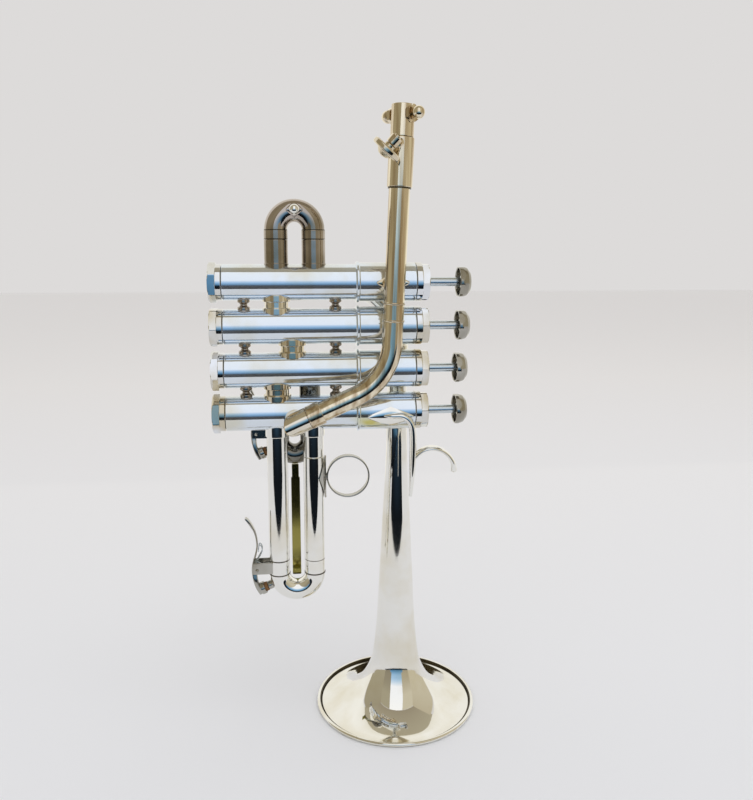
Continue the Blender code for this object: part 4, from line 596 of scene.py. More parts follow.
def block(bm, low, high, edge=0.3):
    """A box with rounded edges."""
    low, high = Vector(low), Vector(high)
    corners = bmesh.ops.create_cube(bm, size=1.0)["verts"]
    for vertex in corners:
        vertex.co = (low + high) / 2 + Vector([c * s for c, s in zip(vertex.co, high - low)])
    edges = {e for v in corners for e in v.link_edges}
    bmesh.ops.bevel(bm, geom=list(edges), offset=edge, segments=3, affect="EDGES")


def lozenge(bm, middle, along, out, radius, thick, length, half_angle, tip=0.10):
    """A diamond plate curved round a tube: its ends are points and its edges are thin."""
    along, out = Vector(along), Vector(out)
    third = along.cross(out)
    stations, across = 33, 20
    layers = []
    for layer in (0, 1):
        rows = []
        for i in range(stations):
            t = i / (stations - 1) * 2 - 1
            share = tip + (1.0 - tip) * (1 - abs(t)) ** 0.9
            row = []
            for j in range(across + 1):
                u = j / across * 2 - 1
                angle = math.radians(half_angle * share * u)
                r = radius + layer * thick * (1 - 0.45 * u * u)
                row.append(bm.verts.new(Vector(middle) + along * t * length / 2
                                        + (out * math.cos(angle) + third * math.sin(angle)) * r))
            rows.append(row)
        layers.append(rows)
    low, high = layers
    for i in range(stations - 1):
        for j in range(across):
            bm.faces.new((low[i][j], low[i][j + 1], low[i + 1][j + 1], low[i + 1][j]))
            bm.faces.new((high[i][j], high[i + 1][j], high[i + 1][j + 1], high[i][j + 1]))
        for j in (0, across):
            bm.faces.new((low[i][j], low[i + 1][j], high[i + 1][j], high[i][j]))
    for i in (0, stations - 1):
        for j in range(across):
            bm.faces.new((low[i][j], low[i][j + 1], high[i][j + 1], high[i][j]))


def casing(index):
    bm = bmesh.new()
    outline = rounded(((8.6, RIGHT_SEAM - 0.15), (UPPER_R, RIGHT_SEAM - 0.15), (UPPER_R, BEAD_X + 0.9),
                       (BEAD_R, BEAD_X + 0.7), (BEAD_R, BEAD_X - 0.6), (LOWER_R, BEAD_X - 1.0),
                       (LOWER_R, LEFT_SEAM + 0.15), (8.6, LEFT_SEAM + 0.15)), 0.3, closed=True)
    turn_solid(bm, outline, (0, VALVE_Y, valve_z(index)), RIGHT, 128, closed=True)
    finish_piece(f"valve_casing_{index + 1}", bm, SPUN)


def hex_head(bm, middle, low, high, turn):
    """A cap's hexagonal head. Its outer face is turned to a shallow cone, so its corners are eased."""
    outline = rounded(((2.2, low), (HEX_CORNER, low), (HEX_CORNER, high - 0.75), (HEX_CORNER - 1.1, high - 0.15),
                       (HEX_CORNER - 2.4, high), (2.2, high)), 0.25, closed=True)
    return turn_solid(bm, outline, middle[0], middle[1], 180, closed=True,
                      flat=HEX_CORNER * math.cos(math.pi / 6), turn=turn)


def bottom_cap(index):
    bm = bmesh.new()
    middle = Vector((0, VALVE_Y, valve_z(index)))
    lip, shoulder = LEFT_SEAM - 0.15, LEFT_SEAM - BOTTOM_BODY
    side = LOWER_R + CAP_OVER
    outline = rounded(((8.9, lip), (side, lip), (side, shoulder), (2.2, shoulder), (2.2, lip)), 0.35, closed=True)
    turn_solid(bm, outline, middle, RIGHT, 96, closed=True)
    hex_head(bm, (middle, LEFT), -shoulder - 0.2, -shoulder + CAP_HEX, -BOTTOM_TURNS[index])
    finish_piece(f"bottom_cap_{index + 1}", bm, CAP)


def top_cap(index):
    bm = bmesh.new()
    middle = Vector((0, VALVE_Y, valve_z(index)))
    lip, shoulder = RIGHT_SEAM + 0.15, RIGHT_SEAM + TOP_BODY
    side = UPPER_R + CAP_OVER
    outline = rounded(((3.0, shoulder), (side, shoulder), (side, lip), (3.0, lip)), 0.35, closed=True)
    turn_solid(bm, outline, middle, RIGHT, 96, closed=True)
    hex_head(bm, (middle, RIGHT), shoulder - 0.2, shoulder + CAP_HEX, TOP_TURNS[index])
    finish_piece(f"top_cap_{index + 1}", bm, CAP)


def button_lip(index):
    return RIGHT_SEAM + TOP_BODY + CAP_HEX + STROKE + BUTTON_REST[index]


def finger_button(index):
    bm = bmesh.new()
    lip = button_lip(index)
    top = lip + BUTTON_HEIGHT
    outline = rounded(((0.0, top - 0.3), (5.6, top), (7.85, top - 1.9), (BUTTON_R, top - 4.6), (BUTTON_R, lip),
                       (BUTTON_R - 1.1, lip), (BUTTON_R - 1.4, top - 3.2), (3.6, top - 3.2), (3.6, top - 5.1),
                       (0.0, top - 5.1)), 0.45)
    turn_solid(bm, outline, (0, VALVE_Y, valve_z(index)), RIGHT, 180, flat=BUTTON_FLAT, turn=0.0)
    finish_piece(f"finger_button_{index + 1}", bm, WORN)


def piston(index):
    bm = bmesh.new()
    top = button_lip(index) + 1.2
    outline = rounded(((0.0, top), (STEM_R, top), (STEM_R, -13.5), (6.5, -13.5), (6.5, -28.5), (PISTON_R, -28.5),
                       (PISTON_R, -83.5), (0.0, -83.5)), 0.3)
    turn_solid(bm, outline, (0, VALVE_Y, valve_z(index)), RIGHT, 64)
    finish_piece(f"piston_{index + 1}", bm, NICKEL)


def link_tube(index):
    bm = bmesh.new()
    high, low = valve_z(index), valve_z(index + 1)
    edge, collar = LOWER_R + 0.6, TUBE_R + 1.2
    outline = rounded(((collar, high - 6.8), (collar, high - edge), (TUBE_R, high - edge), (TUBE_R, low + edge),
                       (collar, low + edge), (collar, low + 6.8), (5.25, low + 6.8), (5.25, high - 6.8)), 0.25,
                      closed=True)
    turn_solid(bm, outline, (LINK_X[index], VALVE_Y, 0), UP, 64, closed=True)
    finish_piece(f"valve_tube_{index + 1}_{index + 2}", bm, TARNISHED)


def valve_brace(index, number):
    bm = bmesh.new()
    high, low = valve_z(index) - LOWER_R + 0.6, valve_z(index + 1) + LOWER_R - 0.6
    top, bottom, middle = high - 1.5, low + 1.5, (high + low) / 2
    outline = rounded(((0.0, high), (3.45, high), (3.45, top), (2.15, middle + 0.5), (2.0, middle + 0.12),
                       (2.0, middle - 0.12), (2.15, middle - 0.5), (3.45, bottom), (3.45, low), (0.0, low)), 0.2)
    turn_solid(bm, outline, (BRACE_X[number], VALVE_Y, 0), UP, 40)
    finish_piece(f"valve_brace_{index + 1}_{index + 2}_{'ab'[number]}", bm, DARKENED)


def leg_x(valve, side):
    return SLIDE_X[valve] + (-0.5, 0.5)[side] * SLIDE_SPACING[valve]


def inner_r(valve):
    return LEG_R[valve] - SLIDE_WALL - GAP


def straight_leg(name, valve, length, place, toward, finish, inner_to=None):
    bm = bmesh.new()
    r, bore = LEG_R[valve], LEG_R[valve] - SLIDE_WALL
    collar, top = r + COLLAR_OVER[valve], LOWER_R + COLLAR_HIGH[valve]
    foot = ((r, length), (r, top + 0.1), (collar, top), (collar, 7.0))
    if inner_to:
        thin = inner_r(valve)
        outline = ((thin, inner_to), (thin, length), *foot, (4.7, 7.0), (4.7, inner_to))
    else:
        outline = (*foot, (bore, 7.0), (bore, length))
    turn_solid(bm, rounded(outline, 0.22, closed=True), place, toward, 64, closed=True)
    finish_piece(name, bm, finish)


def fixed_legs():
    for side in (0, 1):
        letter = "ab"[side]
        straight_leg(f"first_slide_leg_{letter}", 0, FIRST_SEAM_Z - 0.15 - valve_z(0),
                     (leg_x(0, side), VALVE_Y, valve_z(0)), UP, DARKENED)
        straight_leg(f"second_slide_leg_{letter}", 1, SECOND_SEAM_Y - 0.15 - VALVE_Y,
                     (leg_x(1, side), VALVE_Y, valve_z(1)), BACK, POLISHED)
        bm = bmesh.new()
        r = LEG_R[2]
        route = Route((leg_x(2, side), VALVE_Y + 7.2, valve_z(2)), BACK, r)
        route.ahead(THIRD_Y - THIRD_BEND - route.at.y, r)
        route.turn(LEFT, 90, THIRD_BEND, r, 24)
        route.ahead(route.at.z - THIRD_SEAM_Z - 0.27, r)
        route.step(r - 0.15)
        route.tube(bm)
        # The third slide's legs take the plate darkened with painted shade.
        finish_piece(f"third_slide_leg_{letter}", bm, SHADED)
    straight_leg("fourth_slide_leg_a", 3, valve_z(3) - FOURTH_SEAM_Z - 0.15, (leg_x(3, 0), VALVE_Y, valve_z(3)),
                 DOWN, POLISHED)
    straight_leg("fourth_slide_leg_b", 3, valve_z(3) - FOURTH_LONG_LEG_Z - 0.15, (leg_x(3, 1), VALVE_Y, valve_z(3)),
                 DOWN, POLISHED, valve_z(3) - 101.2)


def crook(bm, valve, seam, heading, long_leg=None, seam_slot=2):
    """The moving bow of a slide, from its seam plane's middle, with a thin dark band of painted shade at each joint."""
    axis = heading.cross(RIGHT)
    half = SLIDE_SPACING[valve] / 2
    thin, fat, bow = inner_r(valve), LEG_R[valve], BOW_R[valve]
    run = RUN[valve] - 0.75
    route = Route(Vector(seam) - RIGHT * half + heading * (0.15 - ENGAGED[valve]), heading, thin - 0.2)
    route.ahead(0.2, thin)
    route.ahead(ENGAGED[valve] - 0.35, thin)
    route.step(fat - 0.12)
    route.step(fat)
    route.ahead(run - 0.12, fat)
    route.step(fat - 0.16)
    route.step(bow, 0.34)
    route.ahead(RUN[valve] - run - 0.46 - 0.24, bow)
    route.turn(axis, 180, half, bow, 56)
    route.ahead(RUN[valve] - run - 0.46 - 0.24, bow)
    route.step(fat - 0.16, 0.34)
    route.step(fat)
    if long_leg:
        route.ahead(long_leg - 0.8, fat)
        route.step(fat - 0.12)
        route.step(inner_r(valve) + 0.1)
    else:
        route.ahead(run - 0.12, fat)
        route.step(fat - 0.12)
        route.step(thin)
        route.ahead(ENGAGED[valve] - 0.35, thin)
        route.ahead(0.2, thin - 0.2)
    route.tube(bm)
    tube_faces = len(bm.faces)
    for side in (-1, 1):
        foot = Vector(seam) + RIGHT * half * side
        for low, high, r in ((0.13, 0.5, fat + 0.02), (run + 0.16, run + 0.62, bow + 0.16)):
            turn_solid(bm, ((r - 0.4, low), (r, low), (r, high), (r - 0.4, high)), foot, heading, 48, closed=True)
    bm.faces.ensure_lookup_table()
    for face in bm.faces[tube_faces:]:
        face.material_index = seam_slot


def nipple_line():
    angle = math.radians(NIPPLE_ANGLE)
    return Vector((math.cos(angle), 0.0, math.sin(angle)))


def key_pin(valve, middle):
    return Vector(middle) + Vector((-SLIDE_SPACING[valve] / 2 - BOW_R[valve] - PIN_OFF_LEG, 0.0, PIN_ABOVE_BOW))


def leg_wall(valve, y):
    """How far the leg's surface lies to the right of the pin, at a distance off the slide's plane."""
    return PIN_OFF_LEG + BOW_R[valve] - math.sqrt(LEG_R[valve] ** 2 - y * y)


def water_key_mount(bm, valve, middle):
    """The key's saddle plates, its pin and the nipple on the bow."""
    surface = SLIDE_SPACING[valve] / 2 + BOW_R[valve]
    tube_faces = len(bm.faces)
    turn_solid(bm, rounded(((0.0, surface + 2.2), (2.6, surface + 2.2), (2.6, surface - 0.4), (3.2, surface - 0.8),
                            (0.0, surface - 0.8)), 0.3), middle, nipple_line(), 40)
    pin = key_pin(valve, middle)
    out = KEY_HALF + GAP + 0.8
    inward = pin.x + leg_wall(valve, out) + 0.5
    for side in (-1, 1):
        y = sorted((side * out, side * (out - 0.8)))
        block(bm, (pin.x - 2.6, pin.y + y[0], pin.z - 2.6), (inward, pin.y + y[1], pin.z + 4.3), 0.28)
        ball(bm, 0.95, pin + Vector((0.0, side * (out + 0.15), 0.0)), BACK, 24)
    turn_solid(bm, rounded(((0.0, out), (0.9, out), (0.9, -out), (0.0, -out)), 0.25), pin, BACK, 24)
    bm.faces.ensure_lookup_table()
    for face in bm.faces[tube_faces:]:
        face.material_index = 1


def water_key(number, valve, middle):
    bm = bmesh.new()
    pin = key_pin(valve, middle)
    stations = smooth([(pin.x + x, pin.z + z, thick, wide) for x, z, thick, wide in KEY_LEVER], 8)
    bar(bm, stations, pin.y, 32, 5.0)
    turn_solid(bm, rounded(((1.2, KEY_HALF), (1.8, KEY_HALF), (1.8, -KEY_HALF), (1.2, -KEY_HALF)), 0.2, closed=True),
               pin, BACK, 40, closed=True)
    line = nipple_line()
    floor = SLIDE_SPACING[valve] / 2 + BOW_R[valve] + 2.5 + 3.2
    turn_solid(bm, rounded(((0.0, floor + 1.7), (3.0, floor + 1.7), (3.7, floor + 1.0), (3.7, floor - 1.5),
                            (3.0, floor - 1.5), (3.0, floor + 0.3), (0.0, floor + 0.3)), 0.3), middle, line, 48)
    finish_piece(f"water_key_{number}", bm, WORN)
    bm = bmesh.new()
    turn_solid(bm, rounded(((0.0, floor), (2.7, floor), (2.7, floor - 3.2), (0.0, floor - 3.2)), 0.3), middle, line, 40)
    finish_piece(f"water_key_cork_{number}", bm, CORK)
    key_spring(number, valve, pin)


def key_spring(number, valve, pin):
    """One wire: a coil round each end of the key's barrel, and a loop that presses on its lever."""
    outer, steps = KEY_HALF - SPRING_WIRE, 24
    half = [Vector((leg_wall(valve, outer) - SPRING_WIRE - GAP, outer, -1.0))]
    for k in range(round(steps * SPRING_TURNS) + 1):
        angle = math.tau * (0.75 - k / steps)
        half.append(Vector((SPRING_R * math.cos(angle), outer - SPRING_PITCH * k / steps, SPRING_R * math.sin(angle))))
    inner = half[-1].y
    half += [Vector((x, inner, z)) for x, z in SPRING_ARM]
    points = half + [Vector((p.x, -p.y, p.z)) for p in reversed(half)]
    bm = bmesh.new()
    grown(bm, WIRE, line_mesh([pin + p for p in points]),
          {"Radius": SPRING_WIRE, "Sides": 12, "Points": 420, "Finish": NICKEL})
    piece = finish_piece(f"water_key_spring_{number}", bm, NICKEL, riding=False)
    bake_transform(piece)


def slides():
    bm = bmesh.new()
    crook(bm, 0, (SLIDE_X[0], VALVE_Y, FIRST_SEAM_Z), UP, seam_slot=1)
    top = Vector((SLIDE_X[0], VALVE_Y, FIRST_SEAM_Z + RUN[0] + SLIDE_SPACING[0] / 2))
    face = BOW_R[0]
    lozenge(bm, top, RIGHT, FRONT, face - 0.6, 1.2, 9.0, 41.0)
    turn_solid(bm, rounded(((0.0, face), (1.9, face + 0.2), (1.3, face + 0.9), (1.3, face + 1.6), (0.0, face + 1.8)),
                           0.3), top, FRONT, 32)
    lower_faces = len(bm.faces)
    ball(bm, KNOB_R, top + FRONT * (face + 0.6 + KNOB_R), FRONT, 48)
    bm.faces.ensure_lookup_table()
    for face in bm.faces[lower_faces:]:
        face.material_index = 2
    finish_piece("first_slide_crook", bm, DARKENED, SEAM, POLISHED)
    bm = bmesh.new()
    crook(bm, 1, (SLIDE_X[1], SECOND_SEAM_Y, valve_z(1)), BACK, seam_slot=1)
    finish_piece("second_slide_crook", bm, POLISHED, SEAM)
    bm = bmesh.new()
    crook(bm, 2, (SLIDE_X[2], THIRD_Y, THIRD_SEAM_Z), DOWN)
    middle = Vector((SLIDE_X[2], THIRD_Y, THIRD_SEAM_Z - RUN[2]))
    water_key_mount(bm, 2, middle)
    # The third slide's bow takes the same plate darkened with painted shade.
    finish_piece("third_slide_crook", bm, SHADED, WORN, SEAM)
    water_key(3, 2, middle)
    bm = bmesh.new()
    crook(bm, 3, (SLIDE_X[3], VALVE_Y, FOURTH_SEAM_Z), DOWN, FOURTH_LONG_LEG_Z - FOURTH_SEAM_Z + RUN[3] - 0.15)
    middle = Vector((SLIDE_X[3], VALVE_Y, FOURTH_SEAM_Z - RUN[3]))
    water_key_mount(bm, 3, middle)
    finish_piece("fourth_slide_crook", bm, POLISHED, WORN, SEAM)
    water_key(4, 3, middle)


def pull_bar():
    bm = bmesh.new()
    x, y = SLIDE_X[2], THIRD_Y
    length, wide, thick, neck_length, neck, lip, lip_height = PULL_BAR
    bow = THIRD_SEAM_Z - RUN[2] - SLIDE_SPACING[2] / 2 - BOW_R[2]
    block(bm, (x - wide, y - thick, bow - length), (x + wide, y + thick, bow - neck_length))
    block(bm, (x - neck, y - thick, bow - neck_length - 0.8), (x + neck, y + thick, bow - GAP))
    block(bm, (x - wide, y - thick, bow - length), (x + wide, y + lip - thick, bow - length + lip_height))
    # The pull bar's dark olive is partly the brass's own colour and partly painted shade.
    finish_piece("third_slide_pull_bar", bm, GOLDEN)


def bell_side():
    side = [(BELL_TOP_Z, 0.0), (BELL_TAPER_Z, 0.0), *FLARE]
    return [(z, BELL_R + (RIM_R - BELL_R) * share) for z, share in side]


def bell_radius(height):
    side = bell_side()
    for (top, radius), (bottom, wider) in zip(side, side[1:]):
        if bottom <= height <= top:
            return radius + (wider - radius) * (top - height) / (top - bottom)


def bell_brace():
    """A block between the bell's tube and the fourth casing, with a long leaf down the tube's side."""
    bm = bmesh.new()
    turn_solid(bm, rounded(((0.0, 8.5), (4.0, 8.5), (4.0, 10.6), (3.2, 11.2), (3.2, 11.9), (4.0, 12.4), (4.0, 14.5),
                            (0.0, 14.5)), 0.3), (0, VALVE_Y, valve_z(3)), BACK, 40)
    z, length = valve_z(3) - 18.5, 41.6
    top, bottom = bell_radius(z + length / 2), bell_radius(z - length / 2)
    side = math.radians(-125.0)
    facing = Vector((math.cos(side), math.sin(side), 0.0))
    along = (UP - facing * (bottom - top) / length).normalized()
    facing = (facing - along * facing.dot(along)).normalized()
    lozenge(bm, UP * z, along, facing, (top + bottom) / 2 + 0.45, 0.6, length, 32.0, 0.12)
    finish_piece("bell_brace", bm, POLISHED)


def finger_ring():
    bm = bmesh.new()
    leg, z, grip = leg_x(3, 1), 155.2, LEG_R[3] + 0.45
    centre = (leg + grip + 1.0 + 12.5, VALVE_Y, z)
    turn_solid(bm, rounded(((12.5, 2.25), (12.5, -2.25), (11.6, -2.25), (11.6, 2.25)), 0.4, closed=True), centre,
               BACK, 128, closed=True)
    lozenge(bm, (leg, VALVE_Y, z), UP, RIGHT, grip, 0.9, 25.0, 62.0)
    turn_solid(bm, rounded(((0.0, 1.5), (2.6, 1.5), (2.0, 1.0), (2.6, 0.4), (0.0, 0.2)), 0.2),
               (leg + grip, VALVE_Y, z), RIGHT, 32)
    finish_piece("finger_ring", bm, WORN)


def pipe_point(z):
    return Vector((PIPE_BEND_X + (z - PIPE_BEND_Z) * math.tan(math.radians(PIPE_LEAN)), PIPE_Y, z))


def pipe_down():
    lean = math.radians(PIPE_LEAN)
    return Vector((-math.sin(lean), 0.0, -math.cos(lean)))


def leadpipe():
    bm = bmesh.new()
    slant = math.cos(math.radians(PIPE_LEAN))
    route = Route(pipe_point(SLEEVE_Z[0] + 4.0), pipe_down(), PIPE_R)
    for z in PIPE_BEADS:
        route.ahead((route.at.z - z) / slant - 0.7, PIPE_R)
        for n in range(1, 8):
            route.ahead(0.175, PIPE_R + 0.45 * math.sin(math.pi * n / 8) ** 0.6)
        route.ahead(0.175, PIPE_R)
    route.ahead((route.at.z - PIPE_BEND_Z) / slant, PIPE_R)
    route.turn(BACK, 90.0 - PIPE_LEAN - PIPE_FALL, PIPE_BEND_R, PIPE_R, 40)
    route.ahead(PIPE_RUN, PIPE_R)
    route.tube(bm, 72)
    finish_piece("leadpipe", bm, BROWNED)
    at, heading = route.at.copy(), route.heading.copy()
    bm = bmesh.new()
    turn_solid(bm, rounded(((5.7, 0.0), (6.5, 0.0), (6.5, 7.6), (5.7, 7.6)), 0.25, closed=True), at - heading * 5.6,
               heading, 64, closed=True)
    finish_piece("leadpipe_ferrule", bm, BROWNED)
    leadpipe_elbow(at, heading)


def leadpipe_elbow(at, heading):
    """Two mitred tubes, joined by a thin seam of solder."""
    bm = bmesh.new()
    radius, sides = PIPE_R + 0.7, 64
    corner = at + heading * ((at.x - PIPE_ENTRY_X) / -heading.x)
    inward, seam = BACK, (heading + BACK).normalized()
    across = heading.cross(BACK).normalized()
    rings = []
    for centre, line, r in ((at + heading * 0.3, heading, PIPE_R), (at + heading * 2.3, heading, PIPE_R),
                            (at + heading * 2.45, heading, radius - 0.12), (at + heading * 2.6, heading, radius),
                            (corner, heading, radius), (corner, inward, radius),
                            (Vector((corner.x, VALVE_Y - 7.5, corner.z)), inward, radius)):
        side = across.cross(line)
        ring = []
        for k in range(sides):
            angle = math.tau * k / sides
            point = centre + (across * math.cos(angle) + side * math.sin(angle)) * r
            if centre is corner:
                push = 0.28 if line is heading else -0.28
                point += line * (-(point - corner).dot(seam) / line.dot(seam) - push)
            ring.append(bm.verts.new(point))
        rings.append(ring)
    for number, (one, two) in enumerate(zip(rings, rings[1:])):
        for k in range(sides):
            face = bm.faces.new((one[k - 1], one[k], two[k], two[k - 1]))
            face.material_index = 1 if number in (1, 2, 4) else 0
    bm.faces.new(rings[0])
    bm.faces.new(rings[-1])
    finish_piece("leadpipe_elbow", bm, TARNISHED, SOLDER)


def leadpipe_brace():
    bm = bmesh.new()
    centre = pipe_point(valve_z(0))
    place = (centre.x, VALVE_Y, valve_z(0))
    lozenge(bm, place, RIGHT, FRONT, UPPER_R + 0.45, 0.8, 18.0, 24.0)
    turn_solid(bm, rounded(((0.0, 11.0), (3.0, 11.4), (2.4, 12.4), (2.4, 14.0), (0.0, 14.0)), 0.2), place, FRONT, 32)
    finish_piece("leadpipe_brace", bm, TARNISHED)


def sleeve():
    bm = bmesh.new()
    low, high = pipe_point(SLEEVE_Z[0]), pipe_point(SLEEVE_Z[1])
    length = (high - low).length
    turn_solid(bm, rounded(((5.7, 0.0), (6.7, 0.0), (6.7, length), (5.7, length)), 0.4, closed=True), low, high - low,
               80, closed=True)
    # A thin dark band at the sleeve's foot, in the seam plate: painted shade under the sleeve's edge.
    tube_faces = len(bm.faces)
    turn_solid(bm, ((5.62, -0.75), (6.2, -0.75), (6.2, 0.2), (5.72, 0.2)), low, high - low, 64, closed=True)
    bm.faces.ensure_lookup_table()
    for face in bm.faces[tube_faces:]:
        face.material_index = 1
    axis = Vector(THUMB_AXIS).normalized()
    centre = Vector(THUMB_CENTRE)
    near = centre - axis * 3.5
    turn_solid(bm, rounded(((2.2, 0.0), (3.1, 0.0), (3.1, 4.6), (2.2, 4.6)), 0.3, closed=True), near, -axis, 40,
               closed=True)
    middle = near - axis * 2.3
    inward = pipe_point(middle.z)
    out = (middle - inward).normalized()
    reach = (middle - inward).length - 2.6
    turn_solid(bm, ((0.0, 6.2), (2.9, 6.3), (2.3, 7.0), (2.2, reach), (0.0, reach)), inward, out, 32)
    finish_piece("leadpipe_sleeve", bm, BROWNED, SEAM)
    bm = bmesh.new()
    outline = rounded(((0.0, 4.2), (2.5, 3.6), (4.2, 2.1), (4.6, 1.6), (7.4, 1.6), (8.2, 1.0), (8.2, -1.0),
                       (7.4, -1.6), (2.8, -1.6), (2.8, -3.2), (1.9, -3.2), (1.9, -8.9), (0.0, -8.9)), 0.35)
    turn_solid(bm, outline, centre, axis, 120)
    finish_piece("thumbscrew", bm, TARNISHED)


def receiver():
    """The mouthpiece receiver. Its two ball-ended screws are one screw that a tree copies round it."""
    bm = bmesh.new()
    down = pipe_down()
    top = pipe_point(SLEEVE_Z[1] + RECEIVER_LENGTH)
    visible = (top.z - SLEEVE_Z[1] - 0.3) / math.cos(math.radians(PIPE_LEAN))
    outline = rounded(((4.9, 0.0), (6.15, 0.0), (6.15, -visible), (PIPE_R, -visible), (PIPE_R, -visible - 20.0),
                       (4.3, -visible - 20.0), (4.3, -visible)), 0.45, closed=True)
    turn_solid(bm, outline, top, -down, 80, closed=True)
    screw = bmesh.new()
    nut = rounded(((0.0, 7.85), (4.3, 7.85), (4.7, 7.5), (4.7, 5.9), (4.3, 5.55), (0.0, 5.55)), 0.12)
    turn_solid(screw, nut, (0, 0, 0), RIGHT, 90, flat=4.7 * math.cos(math.pi / 6), side=UP)
    ball(screw, 3.35, RIGHT * 10.6, RIGHT)
    source = bpy.data.meshes.new("screw")
    screw.to_mesh(source)
    screw.free()
    level = pipe_point(top.z - 5.0)
    grown(bm, ROUND, source, {"Count": 2, "Finish": TARNISHED},
          Matrix.Translation(level) @ Matrix.Rotation(math.radians(-50.0), 4, "Z"))
    finish_piece("mouthpiece_receiver", bm, BROWNED)


def bell():
    bm = bmesh.new()
    outer = [Vector((p.y, p.x)) for p in smooth(bell_side(), 12)]
    inner = []
    for k, point in enumerate(outer):
        slope = (outer[min(k + 1, len(outer) - 1)] - outer[max(k - 1, 0)]).normalized()
        inner.append(point + Vector((slope.y, -slope.x)) * BELL_WALL)
    centre = Vector((RIM_R - RIM_BEAD, RIM_BEAD))
    bead = [Vector((47.25, 0.78))]
    for n in range(21):
        angle = math.radians(165 - 285 * n / 20)
        spot = centre + Vector((math.cos(angle), math.sin(angle))) * RIM_BEAD
        bead.append(Vector((spot.x, max(spot.y, 0.03))))
    turn_solid(bm, outer + bead + inner[::-1], sides=224, closed=True)
    # Faces in the crease between the flare and the rim bead take the dark seam plate: painted shade in the crease.
    for face in bm.faces:
        reach = [math.hypot(v.co.x, v.co.y) for v in face.verts]
        if face.calc_center_median().z > 0.5 and min(reach) > 46.5 and max(reach) < 48.2:
            face.material_index = 1
    finish_piece("bell", bm, POLISHED, SEAM)


def bell_bow():
    bm = bmesh.new()
    route = Route((0, 0, BELL_TOP_Z - 8.0), UP, 6.1)
    route.step(6.5)
    route.ahead(9.0, 6.5)
    route.step(BELL_R, 0.3)
    route.turn(FRONT, 90, valve_z(0) - route.at.z, BELL_R, 44)
    route.ahead(route.at.x + 61.8 - 7.6, BELL_R)
    route.turn(UP, 90, 7.6, BELL_R, 28)
    route.ahead(route.at.y - VALVE_Y - 7.5, BELL_R)
    route.tube(bm, 72)
    finish_piece("bell_bow", bm, POLISHED)


def pinky_hook():
    bm = bmesh.new()
    droop = math.radians(8.0)
    lozenge(bm, (-7.5, VALVE_Y, valve_z(3)), RIGHT, (0.0, -math.cos(droop), -math.sin(droop)), UPPER_R + 0.45, 1.1,
            25.6, 29.0)
    for stations in (HOOK_ARM, HOOK_CURL):
        placed = [(x, valve_z(3) + rise, thick, wide) for x, rise, thick, wide in stations]
        bar(bm, smooth(placed, 10), HOOK_Y, 40, 2.4)
    ball(bm, 1.75, (28.95, HOOK_Y, 160.6), BACK, 32)
    finish_piece("pinky_hook", bm, POLISHED)


def make_pieces():
    for index in range(4):
        casing(index)
        bottom_cap(index)
        top_cap(index)
        finger_button(index)
        piston(index)
    for index in range(3):
        link_tube(index)
        for number in (0, 1):
            valve_brace(index, number)
    fixed_legs()
    slides()
    pull_bar()
    bell_brace()
    finger_ring()
    leadpipe()
    leadpipe_brace()
    sleeve()
    receiver()
    bell()
    bell_bow()
    pinky_hook()


def sheet(name, corners, ramp):
    """A glowing sheet that only reflections see. Its colour follows shares of its height, or of its depth if flat."""
    mesh = bpy.data.meshes.new(name)
    mesh.from_pydata([tuple(c) for c in corners], [], [(0, 1, 2, 3)])
    obj = bpy.data.objects.new(name, mesh)
    bpy.context.collection.objects.link(obj)
    material = bpy.data.materials.new(name)
    material.use_nodes = True
    tree = material.node_tree
    tree.nodes.clear()
    where = add_node(tree, "ShaderNodeTexCoord").outputs["Generated"]
    parts = add_node(tree, "ShaderNodeSeparateXYZ", [(0, where)])
    flat = max(c[2] for c in corners) - min(c[2] for c in corners) < 0.01
    tone = add_node(tree, "ShaderNodeValToRGB", [("Fac", parts.outputs["Y" if flat else "Z"])])
    stops = tone.color_ramp.elements
    for k, (place, code) in enumerate(ramp):
        stop = stops[k] if k < 2 else stops.new(place)
        stop.position = place
        stop.color = linear(code)
    glow = add_node(tree, "ShaderNodeEmission", [("Color", tone.outputs["Color"])], [("Strength", 1.08)])
    add_node(tree, "ShaderNodeOutputMaterial", [("Surface", glow.outputs[0])])
    mesh.materials.append(material)
    obj.visible_camera = False
    obj.visible_diffuse = False
    obj.visible_shadow = False


def floor():
    """A wide pale floor with painted light: a little darker and bluer in front of the part, lighter and warmer further
    back.
    """
    mesh = bpy.data.meshes.new("floor")
    mesh.from_pydata([(-5, -5, 0), (5, -5, 0), (5, 5, 0), (-5, 5, 0)], [], [(0, 1, 2, 3)])
    obj = bpy.data.objects.new("floor", mesh)
    bpy.context.collection.objects.link(obj)
    material, tree, shader, where = new_material("matt_paper", 0.0, 0.8)
    parts = add_node(tree, "ShaderNodeSeparateXYZ", [(0, where)])
    depth = add_node(tree, "ShaderNodeMapRange", [("Value", parts.outputs["Y"])], [("From Min", -0.1), ("From Max", 1.2)])
    tone = add_node(tree, "ShaderNodeValToRGB", [("Fac", depth.outputs["Result"])])
    tone.color_ramp.elements[0].color = linear("#EEF0F4")
    tone.color_ramp.elements[1].color = linear("#F8F7F6")
    tree.links.new(tone.outputs["Color"], shader.inputs["Base Color"])
    mesh.materials.append(material)


